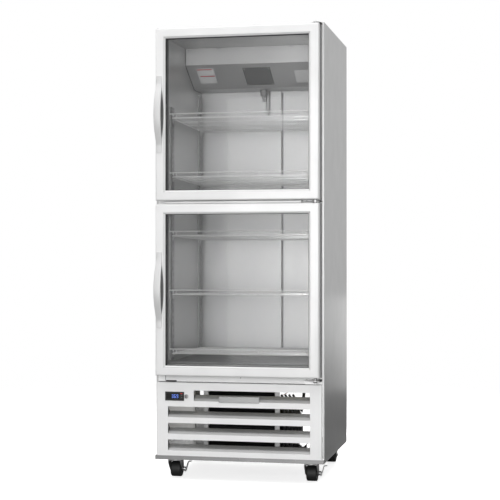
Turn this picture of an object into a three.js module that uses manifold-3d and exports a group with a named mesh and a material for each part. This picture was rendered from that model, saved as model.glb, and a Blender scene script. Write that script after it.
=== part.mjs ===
// Glass door merchandiser: an upright one-section refrigerated display cabinet with two glass half
// doors hinged on the right, five wire shelves, an evaporator under the ceiling, and a condensing
// unit behind a louvred grille, all on four swivel casters.
// Millimetres. +X to the right of someone facing the doors, -Y out of the doors, +Z up. The origin
// is on the floor, under the middle of the bounding box.

import * as THREE from 'three';
import { mergeVertices } from 'three/addons/utils/BufferGeometryUtils.js';
import Module from 'manifold-3d';

const wasm = await Module();
wasm.setup();

// ---- driving dimensions ------------------------------------------------------------------------

const WIDTH = 692;
const HEIGHT = 1840;
const BODY_DEPTH = 646; // from the front face of the cabinet to its back
const DOOR_PROUD = 62; // door front ahead of the cabinet's front face
const HANDLE_PROUD = 38; // handle ahead of the door front
const GAP = 0.3; // between pieces that touch

const HALF = WIDTH / 2;
const DEPTH = BODY_DEPTH + DOOR_PROUD + HANDLE_PROUD;
const BACK = DEPTH / 2;
const FACE = BACK - BODY_DEPTH; // y of the cabinet's front face

const SKIN = 1.2; // outer sheet
const SHEET = 1.5; // liner and face frame sheet
const BASE_BOTTOM = 84.7;
const BASE_TOP = 100.7;
const BASE_WALL = 2;
const SKIN_BOTTOM = BASE_TOP + GAP;
const FACE_RETURN = 8; // front edge of each side panel, folded round the corner
const REAR_RETURN = 20;
const RAIL_BOTTOM = 397.6; // lower edge of the face frame

// refrigerated cavity, inside the liner
const CAVITY_X = 295.5;
const CAVITY_FLOOR = 478;
const CAVITY_CEILING = 1795;
const CAVITY_REAR = FACE + 588;
const MULLION = { low: 1090, high: 1162, depth: 50 };
const FOAM_BOTTOM = 404;

// doors
const DOOR_HALF = 333.75;
const DOOR_FRONT = FACE - DOOR_PROUD;
const DOOR_BACK = FACE - 18;
const DOOR_BORDER = 40.5; // visible frame width round the glass
const DOORS = [
  { name: 'upper', low: 1133.3, high: 1828.4, handleZ: 1481.4, handleHalf: 154 },
  { name: 'lower', low: 427.7, high: 1119.2, handleZ: 772.6, handleHalf: 152 },
];
const HINGE_X = 317;
const HINGE_Y = FACE - 47;
const PIN_RADIUS = 4;
const PIN_HOLE_RADIUS = 4.5;
const HANDLE_X = -317.5;

// grille
const GRILLE_HALF = 337.5;
const GRILLE_FRONT = FACE - 21;
const GRILLE_TOP = 397.3;
const SLOTS = [
  { left: -184, low: 322.8, high: 366.5 },
  { left: -291.7, low: 256, high: 300.3 },
  { left: -291.7, low: 188.3, high: 233.4 },
  { left: -291.7, low: 121.1, high: 166.2 },
];
const SLOT_RIGHT = 291.7;

// shelves: heights of the deck, which is the lower front rail
const SHELF_DECKS = [1475, 1234.5, 995, 755, 515];
const SHELF = { left: -284.5, right: 284.5, front: FACE + 12, rear: FACE + 512, lip: 18, drop: 10 };
const PILASTER = { depth: 8, width: 40, frontY: FACE + 20, rearY: FACE + 479 };

// evaporator housing under the ceiling: y of its corners behind the face, and their heights
const EVAPORATOR = { frontY: FACE + 262, bendZ: 1723.6, heelY: FACE + 411, heelZ: 1639 };
const AIR_PANEL_Y = FACE + 549;
const AIR_DUCT_RISE = 12; // how far the raised middle of the air panel stands forward

// casters
const CASTER_X = 283;
const CASTER_Y = [FACE + 69, FACE + 582];
const TRAIL = 20; // axle behind the swivel axis
const WHEEL_RADIUS = 32;
const WHEEL_HALF = 22;
const WHEEL_FLATS = 28; // facets round the tread

// ---- materials ---------------------------------------------------------------------------------

function finish(color, roughness, metalness) {
  return new THREE.MeshStandardMaterial({ color, roughness, metalness });
}

const sideSteel = finish(0x8f9192, 0.35, 0.9);
const frontWhite = finish(0xeceded, 0.35, 0.1);
const baseSteel = finish(0x868889, 0.4, 0.9);
const linerSteel = finish(0x9a9c9d, 0.4, 0.8);
const satinSilver = finish(0xd8d9da, 0.35, 0.6);
const foamYellow = finish(0xe3d9a8, 0.9, 0);
const clearGlass = new THREE.MeshStandardMaterial({
  color: 0xb9c2c2,
  roughness: 0.05,
  metalness: 0,
  transparent: true,
  opacity: 0.35,
});
const gasketGrey = finish(0x4a4c4e, 0.8, 0);
const blackPlastic = finish(0x1c1d1f, 0.5, 0);
const keyGrey = finish(0x55585b, 0.5, 0);
const wireSteel = finish(0xa9acae, 0.35, 0.8);
const coilAluminium = finish(0x8e9294, 0.45, 0.8);
const finBlack = finish(0x17181a, 0.6, 0.3);
const whitePlastic = finish(0xdadbd8, 0.5, 0);
const compressorBlack = finish(0x111213, 0.35, 0.3);
const zincSteel = finish(0x8b8e90, 0.4, 0.9);
const treadRubber = finish(0x2c2d2e, 0.7, 0);

// ---- solids ------------------------------------------------------------------------------------

// a closed three.js geometry as a solid that can be joined and cut
function solidFrom(geometry) {
  const bare = geometry.clone();
  bare.deleteAttribute('normal');
  bare.deleteAttribute('uv');
  const merged = mergeVertices(bare, 1e-4);
  return new wasm.Manifold(
    new wasm.Mesh({
      numProp: 3,
      vertProperties: new Float32Array(merged.attributes.position.array),
      triVerts: new Uint32Array(merged.index.array),
    }),
  );
}

function geometryFrom(solid) {
  const mesh = solid.getMesh();
  const geometry = new THREE.BufferGeometry();
  geometry.setAttribute('position', new THREE.BufferAttribute(mesh.vertProperties, 3));
  geometry.setIndex(new THREE.BufferAttribute(mesh.triVerts, 1));
  return geometry;
}

function join(...solids) {
  return solids.reduce((whole, solid) => whole.add(solid));
}

function cut(solid, ...tools) {
  return tools.reduce((rest, tool) => rest.subtract(tool), solid);
}

function box(x0, x1, y0, y1, z0, z1) {
  const geometry = new THREE.BoxGeometry(x1 - x0, y1 - y0, z1 - z0);
  geometry.translate((x0 + x1) / 2, (y0 + y1) / 2, (z0 + z1) / 2);
  return solidFrom(geometry);
}

function rectangle(u0, u1, v0, v1) {
  return [new THREE.Vector2(u0, v0), new THREE.Vector2(u1, v0), new THREE.Vector2(u1, v1),
    new THREE.Vector2(u0, v1)];
}

function outlineFrom(pairs) {
  return new THREE.Shape(pairs.map(([u, v]) => new THREE.Vector2(u, v)));
}

function extrude(shape, depth, curveSegments = 6) {
  return new THREE.ExtrudeGeometry(shape, { depth, bevelEnabled: false, curveSegments });
}

// an (x, z) outline made y0 to y1 thick
function slabY(shape, y0, y1) {
  const geometry = extrude(shape, y1 - y0);
  geometry.rotateX(Math.PI / 2);
  geometry.translate(0, y1, 0);
  return solidFrom(geometry);
}

// a (y, z) outline running from x0 to x1
function barX(shape, x0, x1) {
  const geometry = extrude(shape, x1 - x0);
  geometry.applyMatrix4(new THREE.Matrix4().set(0, 0, 1, x0, 1, 0, 0, 0, 0, 1, 0, 0, 0, 0, 0, 1));
  return solidFrom(geometry);
}

// an (x, y) outline standing from z0 to z1
function columnZ(shape, z0, z1) {
  const geometry = extrude(shape, z1 - z0);
  geometry.translate(0, 0, z0);
  return solidFrom(geometry);
}

// a rectangular ring in the (x, z) plane, y0 to y1 thick; outer and inner are [x0, x1, z0, z1]
function ringY(outer, inner, y0, y1) {
  const shape = new THREE.Shape(rectangle(...outer));
  shape.holes.push(new THREE.Path(rectangle(...inner)));
  return slabY(shape, y0, y1);
}

function inset([x0, x1, z0, z1], by) {
  return [x0 + by, x1 - by, z0 + by, z1 - by];
}

function rod(axis, radius, from, to, [u, v], segments = 16) {
  const geometry = new THREE.CylinderGeometry(radius, radius, to - from, segments);
  const middle = (from + to) / 2;
  if (axis === 'x') {
    geometry.rotateZ(Math.PI / 2);
    geometry.translate(middle, u, v);
  } else if (axis === 'y') {
    geometry.translate(u, middle, v);
  } else {
    geometry.rotateX(Math.PI / 2);
    geometry.translate(u, v, middle);
  }
  return solidFrom(geometry);
}

const merchandiser = new THREE.Group();

function piece(name, solid, material, parent = merchandiser) {
  const mesh = new THREE.Mesh(geometryFrom(solid), material);
  mesh.name = name;
  parent.add(mesh);
  return mesh;
}

// ---- cabinet shell -----------------------------------------------------------------------------

// side panel: one sheet, folded 90 degrees at the front and at the rear
function sidePanel(side) {
  const outline = [
    [HALF, FACE],
    [HALF, BACK],
    [HALF - REAR_RETURN, BACK],
    [HALF - REAR_RETURN, BACK - SKIN],
    [HALF - SKIN, BACK - SKIN],
    [HALF - SKIN, FACE + SKIN],
    [HALF - FACE_RETURN, FACE + SKIN],
    [HALF - FACE_RETURN, FACE],
  ];
  return columnZ(outlineFrom(outline.map(([x, y]) => [side * x, y])), SKIN_BOTTOM, HEIGHT);
}

function insulatedBody() {
  const inner = HALF - SKIN - GAP;
  const front = FACE + SHEET + GAP;
  const clear = SHEET + GAP;
  const block = box(-inner, inner, front, BACK - SKIN - GAP, FOAM_BOTTOM, HEIGHT - SKIN - GAP);
  const cavity = box(
    -CAVITY_X - clear, CAVITY_X + clear,
    front - 1, CAVITY_REAR + clear,
    CAVITY_FLOOR - clear, CAVITY_CEILING + clear,
  );
  return cut(block, cavity);
}

function innerLiner() {
  const front = FACE + SHEET + GAP;
  const shell = box(
    -CAVITY_X - SHEET, CAVITY_X + SHEET,
    front, CAVITY_REAR + SHEET,
    CAVITY_FLOOR - SHEET, CAVITY_CEILING + SHEET,
  );
  return cut(shell, box(-CAVITY_X, CAVITY_X, front - 1, CAVITY_REAR, CAVITY_FLOOR, CAVITY_CEILING));
}

// face frame: one sheet with the two door openings, and the mullion's channel behind its mid rail
function faceFrame() {
  const half = HALF - FACE_RETURN - GAP;
  const sheet = new THREE.Shape(rectangle(-half, half, RAIL_BOTTOM, HEIGHT));
  sheet.holes.push(new THREE.Path(rectangle(-CAVITY_X, CAVITY_X, CAVITY_FLOOR, MULLION.low)));
  sheet.holes.push(new THREE.Path(rectangle(-CAVITY_X, CAVITY_X, MULLION.high, CAVITY_CEILING)));
  const rear = FACE + MULLION.depth;
  const channel = outlineFrom([
    [FACE + 1, MULLION.low],
    [rear, MULLION.low],
    [rear, MULLION.high],
    [FACE + 1, MULLION.high],
    [FACE + 1, MULLION.high - SHEET],
    [rear - SHEET, MULLION.high - SHEET],
    [rear - SHEET, MULLION.low + SHEET],
    [FACE + 1, MULLION.low + SHEET],
  ]);
  const reach = CAVITY_X - PILASTER.depth - GAP * 2;
  return join(slabY(sheet, FACE, FACE + SHEET), barX(channel, -reach, reach));
}

// base frame: an open-topped tray that carries the cabinet and the condensing unit
function baseFrame() {
  const tray = box(-HALF, HALF, GRILLE_FRONT, BACK, BASE_BOTTOM, BASE_TOP);
  return cut(tray, box(
    -HALF + BASE_WALL, HALF - BASE_WALL,
    GRILLE_FRONT + BASE_WALL, BACK - BASE_WALL,
    BASE_BOTTOM + BASE_WALL, BASE_TOP + 1,
  ));
}

function addShell() {
  piece('left_side_panel', sidePanel(-1), sideSteel);
  piece('right_side_panel', sidePanel(1), sideSteel);
  const topHalf = HALF - SKIN - GAP;
  const topFront = FACE + SHEET + GAP;
  const topRear = BACK - SKIN - GAP;
  piece('top_panel', box(-topHalf, topHalf, topFront, topRear, HEIGHT - SKIN, HEIGHT), sideSteel);
  const backHalf = HALF - REAR_RETURN - GAP;
  piece('back_panel', box(-backHalf, backHalf, BACK - SKIN, BACK, FOAM_BOTTOM, HEIGHT), sideSteel);
  piece('insulated_body', insulatedBody(), foamYellow);
  piece('inner_liner', innerLiner(), linerSteel);
  piece('face_frame', faceFrame(), frontWhite);
  piece('base_frame', baseFrame(), baseSteel);
}

// ---- front grille, controller and badge --------------------------------------------------------

const CONTROLLER = { left: -303, right: -224, low: 324, high: 360 };
const SWITCH = { x: -215, z: 342, radius: 8.5 };
const KEYS = [{ name: 'up', z: 346.5 }, { name: 'down', z: 337 }];
const KEY_X = -233.5;
const KEY_RADIUS = 2.2;

// louvre: the sheet under a slot, folded inwards and up, with a gusset at each end
function louvre(slot) {
  const front = GRILLE_FRONT;
  const rise = 24;
  const reach = 26;
  const lip = outlineFrom([
    [front, slot.low - 2],
    [front + SHEET, slot.low - 2],
    [front + reach, slot.low + rise - SHEET],
    [front + reach, slot.low + rise],
    [front, slot.low],
  ]);
  const gusset = outlineFrom([
    [front, slot.low - 2],
    [front + reach, slot.low + rise - SHEET],
    [front + reach, slot.low + rise],
    [front, slot.high],
  ]);
  return join(
    barX(lip, slot.left - 1, SLOT_RIGHT + 1),
    barX(gusset, slot.left - SHEET, slot.left),
    barX(gusset, SLOT_RIGHT, SLOT_RIGHT + SHEET),
  );
}

function frontGrille() {
  const rear = FACE - GAP;
  const pan = box(-GRILLE_HALF, GRILLE_HALF, GRILLE_FRONT, rear, SKIN_BOTTOM, GRILLE_TOP);
  const hollow = box(
    -GRILLE_HALF + SHEET, GRILLE_HALF - SHEET,
    GRILLE_FRONT + SHEET, rear + 1,
    SKIN_BOTTOM + SHEET, GRILLE_TOP - SHEET,
  );
  const front = GRILLE_FRONT - 1;
  const through = GRILLE_FRONT + SHEET + 1;
  const slots = SLOTS.map((s) => box(s.left, SLOT_RIGHT, front, through, s.low, s.high));
  const { left, right, low, high } = CONTROLLER;
  const window = box(left + 3.5, right - 3.5, front, through, low + 3, high - 3);
  const hole = rod('y', SWITCH.radius - 1.5, front, through, [SWITCH.x, SWITCH.z], 24);
  return join(cut(pan, hollow, window, hole, ...slots), ...SLOTS.map(louvre));
}

// controller: a bezel on the grille, and its case behind; each key sits in a pocket in the bezel
function controllerCase() {
  const { left, right, low, high } = CONTROLLER;
  const bezelFront = GRILLE_FRONT - 3.5;
  const bezelRear = GRILLE_FRONT - GAP;
  const bezel = box(left, right, bezelFront, bezelRear, low, high);
  const rear = box(left + 4, right - 4, bezelRear - 0.5, FACE + 30, low + 3.5, high - 3.5);
  const pockets = KEYS.map((key) => rod(
    'y', KEY_RADIUS + GAP, bezelFront - 1, bezelFront + 2.5, [KEY_X, key.z], 20,
  ));
  return cut(join(bezel, rear), ...pockets);
}

// round key switch for the cabinet light: a barrel through the grille, with a thumb bar across it
function lightSwitch() {
  const { x, z, radius } = SWITCH;
  const flangeRear = GRILLE_FRONT - GAP;
  const flange = rod('y', radius, flangeRear - 5, flangeRear, [x, z], 24);
  const barrel = rod('y', radius - 2, flangeRear - 1, FACE - 2, [x, z], 24);
  const thumb = box(x - 1.5, x + 1.5, flangeRear - 8, flangeRear - 4, z - 6, z + 6);
  return join(flange, barrel, thumb);
}

function addFront() {
  piece('front_grille', frontGrille(), frontWhite);
  piece('temperature_controller', controllerCase(), blackPlastic);
  for (const key of KEYS) {
    const front = GRILLE_FRONT - 4;
    piece(`controller_${key.name}_key`, rod('y', KEY_RADIUS, front, front + 1.8, [KEY_X, key.z], 20),
      keyGrey);
  }
  piece('light_switch', lightSwitch(), zincSteel);
  const plateRear = GRILLE_FRONT - GAP;
  piece('badge_plate', box(-80, 87, plateRear - 3, plateRear, 320, 345), satinSilver);
}

// ---- cavity fittings ---------------------------------------------------------------------------

// pilaster: an upright channel on a side wall, open towards the wall
function pilaster(side, y, top) {
  const wall = CAVITY_X - GAP;
  const inner = wall - PILASTER.depth;
  const outline = [
    [wall, y],
    [wall, y + SHEET],
    [inner + SHEET, y + SHEET],
    [inner + SHEET, y + PILASTER.width - SHEET],
    [wall, y + PILASTER.width - SHEET],
    [wall, y + PILASTER.width],
    [inner, y + PILASTER.width],
    [inner, y],
  ];
  return columnZ(outlineFrom(outline.map(([x, v]) => [side * x, v])), CAVITY_FLOOR + 8, top);
}

// wire shelf: a rod frame, deck wires from front to back, and a raised front rail on short posts
function wireShelf() {
  const { left, right, front, rear, lip, drop } = SHELF;
  const rodSize = 5;
  const wire = 3;
  const solids = [
    box(left, right, front, front + rodSize, -rodSize, 0),
    box(left + 2, right - 16.5, front, front + rodSize, lip - rodSize, lip),
    box(left, right, rear - rodSize, rear, -drop - rodSize, -drop),
  ];
  // side rods fall from the front rail to the rear rod
  for (const x of [left, right - rodSize]) {
    const side = outlineFrom([
      [front, -rodSize], [rear, -drop - rodSize], [rear, -drop], [front, 0],
    ]);
    solids.push(barX(side, x, x + rodSize));
  }
  const middle = (front + rear) / 2;
  const sag = (-drop * (middle - front)) / (rear - front);
  solids.push(box(left, right, middle, middle + rodSize, sag - rodSize, sag - 0.5));
  for (const x of [-268, -92, 73, 252]) {
    solids.push(box(x, x + 4, front + 0.5, front + 4.5, -1, lip - 1));
  }
  const count = 8;
  for (let i = 1; i < count; i += 1) {
    const x = left + (i * (right - left)) / count - wire / 2;
    const deck = outlineFrom([
      [front + 1, -1], [rear - 1, -drop - 1], [rear - 1, -drop + wire - 1], [front + 1, wire - 1],
    ]);
    solids.push(barX(deck, x, x + wire));
  }
  return join(...solids);
}

// rear air panel: a pan in front of the liner's rear wall, with a raised middle duct
function rearAirPanel() {
  const half = CAVITY_X - GAP;
  const rear = CAVITY_REAR - GAP;
  const y = AIR_PANEL_Y;
  const ductLeft = -50;
  const ductRight = 70;
  const outline = outlineFrom([
    [-half, rear],
    [-half, y],
    [ductLeft, y],
    [ductLeft, y - AIR_DUCT_RISE],
    [ductRight, y - AIR_DUCT_RISE],
    [ductRight, y],
    [half, y],
    [half, rear],
    [half - SKIN, rear],
    [half - SKIN, y + SKIN],
    [ductRight - SKIN, y + SKIN],
    [ductRight - SKIN, y - AIR_DUCT_RISE + SKIN],
    [ductLeft + SKIN, y - AIR_DUCT_RISE + SKIN],
    [ductLeft + SKIN, y + SKIN],
    [-half + SKIN, y + SKIN],
    [-half + SKIN, rear],
  ]);
  return columnZ(outline, CAVITY_FLOOR + GAP, EVAPORATOR.heelZ - GAP);
}

function addCavity() {
  for (const [label, side] of [['left', -1], ['right', 1]]) {
    piece(`${label}_front_pilaster`, pilaster(side, PILASTER.frontY, 1520), linerSteel);
    piece(`${label}_rear_pilaster`, pilaster(side, PILASTER.rearY, 1620), linerSteel);
  }
  SHELF_DECKS.forEach((deck, index) => {
    const shelf = piece(`wire_shelf_${index + 1}`, wireShelf(), wireSteel);
    shelf.position.z = deck;
  });
  piece('rear_air_panel', rearAirPanel(), linerSteel);
}

// ---- fans --------------------------------------------------------------------------------------

// A fan is made round its own Z axis, with +Z on the air's outlet side and the mounting face at 0.

// rows of slots through a guard plate, in two halves either side of a middle web
function guardSlots(throat, plate, pitch) {
  const slots = [];
  const half = (pitch - 3) / 2;
  const rows = Math.floor((throat - 4) / pitch);
  for (let row = -rows; row <= rows; row += 1) {
    const v = row * pitch;
    const reach = Math.sqrt(Math.max((throat - 2) ** 2 - (Math.abs(v) + half) ** 2, 0));
    if (reach > 12) {
      slots.push(box(2, reach, v - half, v + half, -1, plate + 1));
      slots.push(box(-reach, -2, v - half, v + half, -1, plate + 1));
    }
  }
  return slots;
}

// fan housing: a square plate, a round throat behind it, and a motor carried on cross bars;
// the plate has guard slots over the throat, or is open there when no slot pitch is given
function fanHousing({ width, height, plate, throat, depth, motor, bars, slotPitch }) {
  const wall = 2.5;
  const shape = new THREE.Shape(rectangle(-width / 2, width / 2, -height / 2, height / 2));
  const front = columnZ(shape, 0, plate);
  const mouth = slotPitch
    ? guardSlots(throat, plate, slotPitch)
    : [rod('z', throat, -1, plate + 1, [0, 0], 24)];
  const tube = cut(
    rod('z', throat + wall, -depth, 0.5, [0, 0], 24),
    rod('z', throat, -depth - 1, 1, [0, 0], 24),
  );
  const spider = bars.map((length) => box(-length, length, -4, 4, -depth, -depth + 4));
  const motorCan = rod('z', motor, -depth - 22, -depth + 4, [0, 0], 16);
  return join(cut(front, ...mouth), tube, ...spider, motorCan);
}

// fan rotor: a hub with pitched blades
function fanRotor({ hub, tip, thick, from, blades, chord }) {
  const middle = from + thick / 2;
  const solids = [rod('z', hub, from, from + thick, [0, 0], 16)];
  for (let i = 0; i < blades; i += 1) {
    const blade = new THREE.BoxGeometry(tip - hub + 3, chord, 2);
    blade.rotateX(THREE.MathUtils.degToRad(28));
    blade.translate((tip + hub - 3) / 2, 0, middle);
    blade.rotateZ((i * 2 * Math.PI) / blades);
    solids.push(solidFrom(blade));
  }
  return join(...solids);
}

// ---- evaporator --------------------------------------------------------------------------------

const SLOPE = Math.atan2(EVAPORATOR.bendZ - EVAPORATOR.heelZ, EVAPORATOR.heelY - EVAPORATOR.frontY);
const COOLING_FAN = { x: 9.3, y: FACE + 337.8, throat: 53, hub: 18, tip: 50 };

// height of the housing's sloping face at a given y
function slopeZ(y) {
  return EVAPORATOR.bendZ - (y - EVAPORATOR.frontY) * Math.tan(SLOPE);
}

// evaporator cover: one folded sheet from the ceiling, down the slope, and back to the air panel
function evaporatorCover() {
  const { frontY, bendZ, heelY, heelZ } = EVAPORATOR;
  const top = CAVITY_CEILING - GAP;
  const rear = CAVITY_REAR - GAP;
  const t = SKIN;
  const lift = t / Math.cos(SLOPE / 2);
  const sheet = outlineFrom([
    [frontY, top],
    [frontY, bendZ],
    [heelY, heelZ],
    [rear, heelZ],
    [rear, heelZ + t],
    [heelY + t / 4, heelZ + t],
    [frontY + t, bendZ + lift / 2],
    [frontY + t, top],
  ]);
  const half = CAVITY_X - GAP;
  const hole = new THREE.CylinderGeometry(COOLING_FAN.throat + 5, COOLING_FAN.throat + 5, 40, 24);
  hole.rotateX(Math.PI / 2 - SLOPE);
  hole.translate(COOLING_FAN.x, COOLING_FAN.y, slopeZ(COOLING_FAN.y));
  return cut(barX(sheet, -half, half), solidFrom(hole));
}

// evaporator coil: a finned block between two end plates
function evaporatorCoil() {
  const low = EVAPORATOR.heelZ + 14;
  const high = CAVITY_CEILING - 18;
  const front = FACE + 455;
  const rear = FACE + 565;
  const fins = box(-230, 230, front, rear, low + 4, high - 4);
  const left = box(-233, -230, front - 4, rear + 4, low, high);
  const right = box(230, 233, front - 4, rear + 4, low, high);
  return join(fins, left, right);
}

// drain fitting: a cup under the housing, its spout, and the line that runs down into the air panel
function drainFitting() {
  const x = 8;
  const y = FACE + 486;
  const top = EVAPORATOR.heelZ - GAP;
  const profile = [[0, -54], [6, -54], [6, -30], [14, -27], [16.5, 0], [0, 0]];
  const cup = new THREE.LatheGeometry(profile.map(([r, z]) => new THREE.Vector2(r, z)), 24);
  cup.rotateX(Math.PI / 2);
  cup.translate(x, y, top);
  const rear = AIR_PANEL_Y - AIR_DUCT_RISE - GAP;
  const line = box(x - 9, x + 9, y + 8, rear, 1600, top);
  const drop = box(x - 9, x + 9, rear - 20, rear, 1532, 1601);
  return join(solidFrom(cup), line, drop);
}

function addEvaporator() {
  piece('evaporator_cover', evaporatorCover(), linerSteel);
  piece('evaporator_coil', evaporatorCoil(), coilAluminium);
  piece('drain_fitting', drainFitting(), satinSilver);
  const outlet = new THREE.Group();
  outlet.position.set(COOLING_FAN.x, COOLING_FAN.y, slopeZ(COOLING_FAN.y));
  outlet.rotation.x = Math.PI - SLOPE;
  outlet.translateZ(GAP);
  merchandiser.add(outlet);
  piece('evaporator_fan_guard', fanHousing({
    width: 119, height: 119, plate: 3, throat: COOLING_FAN.throat, depth: 30, motor: 15,
    bars: [COOLING_FAN.throat + 1], slotPitch: 17,
  }), blackPlastic, outlet);
  piece('evaporator_fan', fanRotor({
    hub: COOLING_FAN.hub, tip: COOLING_FAN.tip, thick: 16, from: -24, blades: 5, chord: 26,
  }), finBlack, outlet);
}

// ---- hinges ------------------------------------------------------------------------------------

// hinge bracket: a flange on the face frame, an arm out over or under the door, and pivot pins
function hingeBracket({ armLow, armHigh, flangeLow, flangeHigh, left, bossLow, bossHigh, pins }) {
  const right = 338;
  const rear = FACE - GAP;
  const flange = box(left, right, rear - 2, rear, flangeLow, flangeHigh);
  const arm = box(left, right, HINGE_Y - 9, rear, armLow, armHigh);
  const corner = box(left - 1, HINGE_X - 16, HINGE_Y - 10, HINGE_Y + 8, armLow - 1, armHigh + 1);
  const boss = rod('z', 7, bossLow, bossHigh, [HINGE_X, HINGE_Y], 16);
  const pinRods = pins.map(([low, high]) => (
    rod('z', PIN_RADIUS, low, high, [HINGE_X, HINGE_Y], 16)
  ));
  return join(cut(arm, corner), flange, boss, ...pinRods);
}

function addHinges() {
  const [upper, lower] = DOORS;
  piece('top_hinge_bracket', hingeBracket({
    armLow: upper.high + 1.4, armHigh: upper.high + 5.4,
    flangeLow: upper.high + 1, flangeHigh: upper.high + 10,
    left: 280, bossLow: upper.high + GAP, bossHigh: upper.high + 8,
    pins: [[upper.high - 9, upper.high + 1]],
  }), zincSteel);
  const middle = (upper.low + lower.high) / 2;
  piece('middle_hinge_bracket', hingeBracket({
    armLow: middle - 2, armHigh: middle + 2,
    flangeLow: lower.high + 1, flangeHigh: upper.low - 1,
    left: 268, bossLow: lower.high + GAP, bossHigh: upper.low - GAP,
    pins: [[lower.high - 9, lower.high + 1], [upper.low - 1, upper.low + 9]],
  }), zincSteel);
  piece('bottom_hinge_bracket', hingeBracket({
    armLow: lower.low - 15, armHigh: lower.low - 10,
    flangeLow: RAIL_BOTTOM + 1, flangeHigh: lower.low - 3,
    left: 268, bossLow: lower.low - 15, bossHigh: lower.low - GAP,
    pins: [[lower.low - 1, lower.low + 9]],
  }), zincSteel);
}

// ---- doors -------------------------------------------------------------------------------------

// door frame: a hollow section round the glass, open at the back along the groove for the gasket
function doorFrame(outer) {
  const wall = 3;
  const opening = inset(outer, DOOR_BORDER);
  const pocket = inset(outer, DOOR_BORDER - 11);
  const pocketFront = DOOR_FRONT + 10;
  const groove = { near: 15, far: 19 };
  const frame = join(
    ringY(outer, opening, DOOR_FRONT, DOOR_FRONT + wall),
    ringY(outer, inset(outer, wall), DOOR_FRONT, DOOR_BACK),
    ringY(inset(outer, DOOR_BORDER - wall), opening, DOOR_FRONT, pocketFront),
    ringY(inset(pocket, -wall), opening, pocketFront - wall, pocketFront),
    ringY(inset(pocket, -wall), pocket, pocketFront - wall, DOOR_BACK),
    ringY(outer, inset(outer, groove.near), DOOR_BACK - wall, DOOR_BACK),
    ringY(inset(outer, groove.far), pocket, DOOR_BACK - wall, DOOR_BACK),
  );
  const [, , low, high] = outer;
  const bores = [low, high].map((z) => (
    rod('z', PIN_HOLE_RADIUS, z - 5, z + 5, [HINGE_X, HINGE_Y], 16)
  ));
  return cut(frame, ...bores);
}

// insulated glass unit: two panes on a spacer that has a breather hole
function glassUnit(outer) {
  const edge = inset(outer, DOOR_BORDER - 11 + GAP);
  const front = DOOR_FRONT + 10 + GAP;
  const pane = 4;
  const rear = front + 24;
  const spacer = ringY(inset(edge, 2), inset(edge, 10), front + pane - 0.5, rear - pane + 0.5);
  const breather = rod('z', 1.5, outer[2] + 28, outer[2] + 60, [0, front + 12], 12);
  const panes = join(
    slabY(new THREE.Shape(rectangle(...edge)), front, front + pane),
    slabY(new THREE.Shape(rectangle(...edge)), rear - pane, rear),
  );
  return join(panes, cut(spacer, breather));
}

// door gasket: a hollow magnetic seal with a dart that sits in the frame's groove
function doorGasket(outer) {
  const rim = inset(outer, 12);
  const front = DOOR_BACK + GAP;
  const rear = FACE - GAP * 2;
  const body = ringY(rim, inset(outer, 27), front, rear);
  const bellows = ringY(inset(outer, 15), inset(outer, 24), front + 5, rear + 1);
  const dart = ringY(
    inset(outer, 15 + GAP), inset(outer, 19 - GAP), DOOR_BACK - 5, front + 1,
  );
  return join(cut(body, bellows), dart);
}

// arch pull handle: a bow of even thickness between flat pads, widest and furthest out at its middle
function archHandle(half) {
  const steps = 24;
  const gapHalf = half * 0.69;
  const bowHalf = half * 0.77;
  const rise = (z, reach) => Math.max(0, 1 - (z / reach) ** 2);
  const foot = DOOR_FRONT - GAP;
  const front = [];
  const back = [];
  for (let i = 0; i <= steps; i += 1) {
    const z = -half + (2 * half * i) / steps;
    front.push([foot - 4 - (HANDLE_PROUD - 4 - GAP) * rise(z, bowHalf), z]);
    const zBack = -gapHalf + (2 * gapHalf * i) / steps;
    back.push([foot - (HANDLE_PROUD - 9) * rise(zBack, gapHalf), zBack]);
  }
  const side = outlineFrom([...front, [foot, half], ...back.reverse(), [foot, -half]].reverse());
  const leaf = [];
  for (let i = 0; i <= steps; i += 1) {
    const z = -half + (2 * half * i) / steps;
    leaf.push([10.5 + 4 * rise(z, half), z]);
  }
  const mirror = leaf.map(([x, z]) => [-x, z]).reverse();
  const bow = barX(side, -16, 16);
  const face = slabY(outlineFrom([...leaf, ...mirror]), DOOR_FRONT - HANDLE_PROUD - 1, DOOR_FRONT);
  return bow.intersect(face);
}

function addDoors() {
  for (const { name, low, high, handleZ, handleHalf } of DOORS) {
    const outer = [-DOOR_HALF, DOOR_HALF, low, high];
    piece(`${name}_door_frame`, doorFrame(outer), frontWhite);
    piece(`${name}_door_glass`, glassUnit(outer), clearGlass);
    piece(`${name}_door_gasket`, doorGasket(outer), gasketGrey);
    const handle = piece(`${name}_door_handle`, archHandle(handleHalf), satinSilver);
    handle.position.set(HANDLE_X, 0, handleZ);
  }
}

// ---- condensing unit ---------------------------------------------------------------------------

const DECK = BASE_BOTTOM + BASE_WALL + GAP; // the base tray's floor
const CONDENSER_FAN = { x: 0, y: FACE + 92, z: 236, throat: 112, hub: 34, tip: 106 };

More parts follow.
